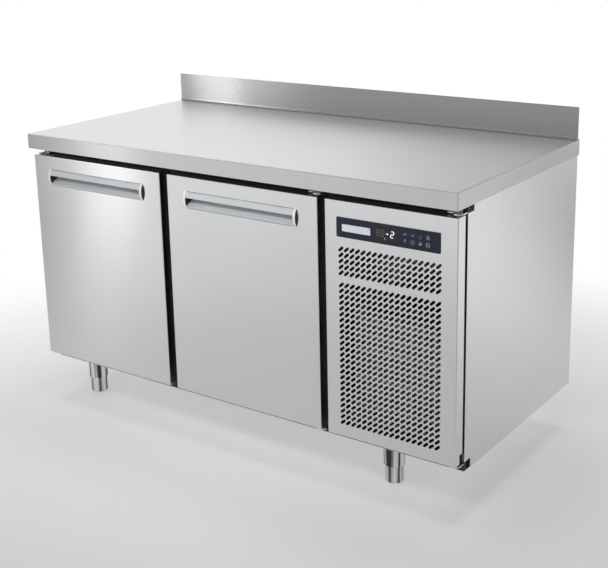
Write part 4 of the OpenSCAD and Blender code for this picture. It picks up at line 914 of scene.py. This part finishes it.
def symbolLines(x, z, r):
    # plain touch symbols: up, down, lamp, frost, drop, clock, power, store
    rays = [[(x - r * math.cos(a), z - r * math.sin(a)), (x + r * math.cos(a), z + r * math.sin(a))]
            for a in (math.radians(t) for t in (30, 90, 150))]
    return [
        [[(x - r * 0.8, z - r * 0.4), (x, z + r * 0.5), (x + r * 0.8, z - r * 0.4)]],
        [[(x - r * 0.8, z + r * 0.4), (x, z - r * 0.5), (x + r * 0.8, z + r * 0.4)]],
        [circlePoints(x, z + r * 0.2, r * 0.65, -60, 240),
         [(x - r * 0.3, z - r * 0.75), (x + r * 0.3, z - r * 0.75)]],
        rays,
        [[(x, z + r * 0.95)] + circlePoints(x, z - r * 0.25, r * 0.6, 30, -210) + [(x, z + r * 0.95)]],
        [circlePoints(x, z, r * 0.85), [(x, z + r * 0.5), (x, z), (x + r * 0.35, z)]],
        [circlePoints(x, z, r * 0.75, 125, 415), [(x, z + r * 0.25), (x, z + r * 0.95)]],
        [[(x - r * 0.75, z - r * 0.75), (x + r * 0.75, z - r * 0.75), (x + r * 0.75, z + r * 0.75),
          (x - r * 0.75, z + r * 0.75), (x - r * 0.75, z - r * 0.75)],
         [(x - r * 0.35, z), (x + r * 0.35, z)]],
    ]


def makeFascia(shape):
    low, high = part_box("control_fascia")
    front, ink = low.y, shape["print"] * mm
    raised = front - shape["digitRise"] * ink
    body, slot = "service_panel", "fascia"

    def at(left, right, bottom, top, radius):
        return roundedOutline(low.x + left * mm, low.x + right * mm, low.z + bottom * mm, low.z + top * mm,
                              radius * mm)

    def disc(x, z, radius):
        return circlePoints(low.x + x * mm, low.z + z * mm, radius * mm, steps=shape["discSteps"])

    bm = bmesh.new()
    addPlate(bm, roundedOutline(low.x, high.x, low.z, high.z, shape["corner"] * mm), front, high.y,
             shape["edge"] * mm)
    plate = newPiece("fascia_plate", bm, fasciaFilm, body, ["control_fascia"])
    smoothBends(plate)

    bm = bmesh.new()
    addPlate(bm, at(*shape["window"], shape["windowCorner"]), front - ink, front + ink, ink / 2)
    newPiece("display_window", bm, windowFilm, body)

    bm = bmesh.new()
    addPlate(bm, at(*shape["badge"], shape["badgeCorner"]), front - shape["badgeRise"] * ink, front + ink,
             shape["badgeEdge"] * ink)
    smoothBends(newPiece("badge_plate", bm, badgeFilm, body))

    unlit, lit = bmesh.new(), bmesh.new()
    for left, segments, on in shape["digits"]:
        addDigit(lit if on else unlit, left, segments, shape, low.x, low.z, raised, front)
    addLine(unlit, disc(*shape["degree"]), shape["degreeLine"] * mm, raised, front)
    addPlate(lit, disc(*shape["dot"])[:-1], raised, front)

    symbols = bmesh.new()
    places = [(x, z) for z in shape["symbolZ"] for x in shape["symbolX"]]
    for k, (x, z) in enumerate(places):
        for points in symbolLines(low.x + x * mm, low.z + z * mm, shape["symbolSize"] * mm)[k]:
            addLine(symbols, points, shape["line"] * mm, front - ink, front + ink)
    # the power symbol's lamp is on
    powerX, powerZ = shape["symbolX"][2], shape["symbolZ"][1]
    addPlate(lit, disc(powerX, powerZ - shape["lampDrop"], shape["lampRadius"])[:-1], raised, front)
    newPiece("display_unlit", unlit, dimSegments, body)
    newPiece("display_lit", lit, whiteGlow, body)
    newPiece("touch_symbols", symbols, iconInk, body)


makeFascia(fascia)
print("fascia printed")


# door gaskets: bellows with a magnet tube, mitred at the corners

gasketShape = {
    # share of the width from the outer edge, share of the depth from the door
    "profile": [(0.12, 0.0), (0.88, 0.0), (0.92, 0.12), (0.78, 0.2), (0.7, 0.32), (0.92, 0.42), (1.0, 0.55),
                (1.0, 0.86), (0.93, 1.0), (0.07, 1.0), (0.0, 0.86), (0.0, 0.55), (0.08, 0.42), (0.3, 0.32),
                (0.22, 0.2), (0.08, 0.12)],
    "width": 12,
}


def makeGasket(side, shape):
    low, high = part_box(side + "_door_gasket")
    bm = bmesh.new()
    rings = []
    for share, depth in shape["profile"]:
        inset, y = share * shape["width"] * mm, low.y + depth * (high.y - low.y)
        left, right, bottom, top = low.x + inset, high.x - inset, low.z + inset, high.z - inset
        rings.append([bm.verts.new((x, y, z)) for x, z in (
            (left, bottom), (right, bottom), (right, top), (left, top))])
    for a, b in zip(rings, rings[1:] + rings[:1]):
        for k in range(len(a)):
            k2 = (k + 1) % len(a)
            bm.faces.new([a[k], a[k2], b[k2], b[k]])
    bmesh.ops.recalc_face_normals(bm, faces=bm.faces)
    newPiece(side + "_door_seal", bm, gasketPvc, side + "_door", [side + "_door_gasket"])


for side in ("left", "right"):
    makeGasket(side, gasketShape)
print("gaskets fitted")
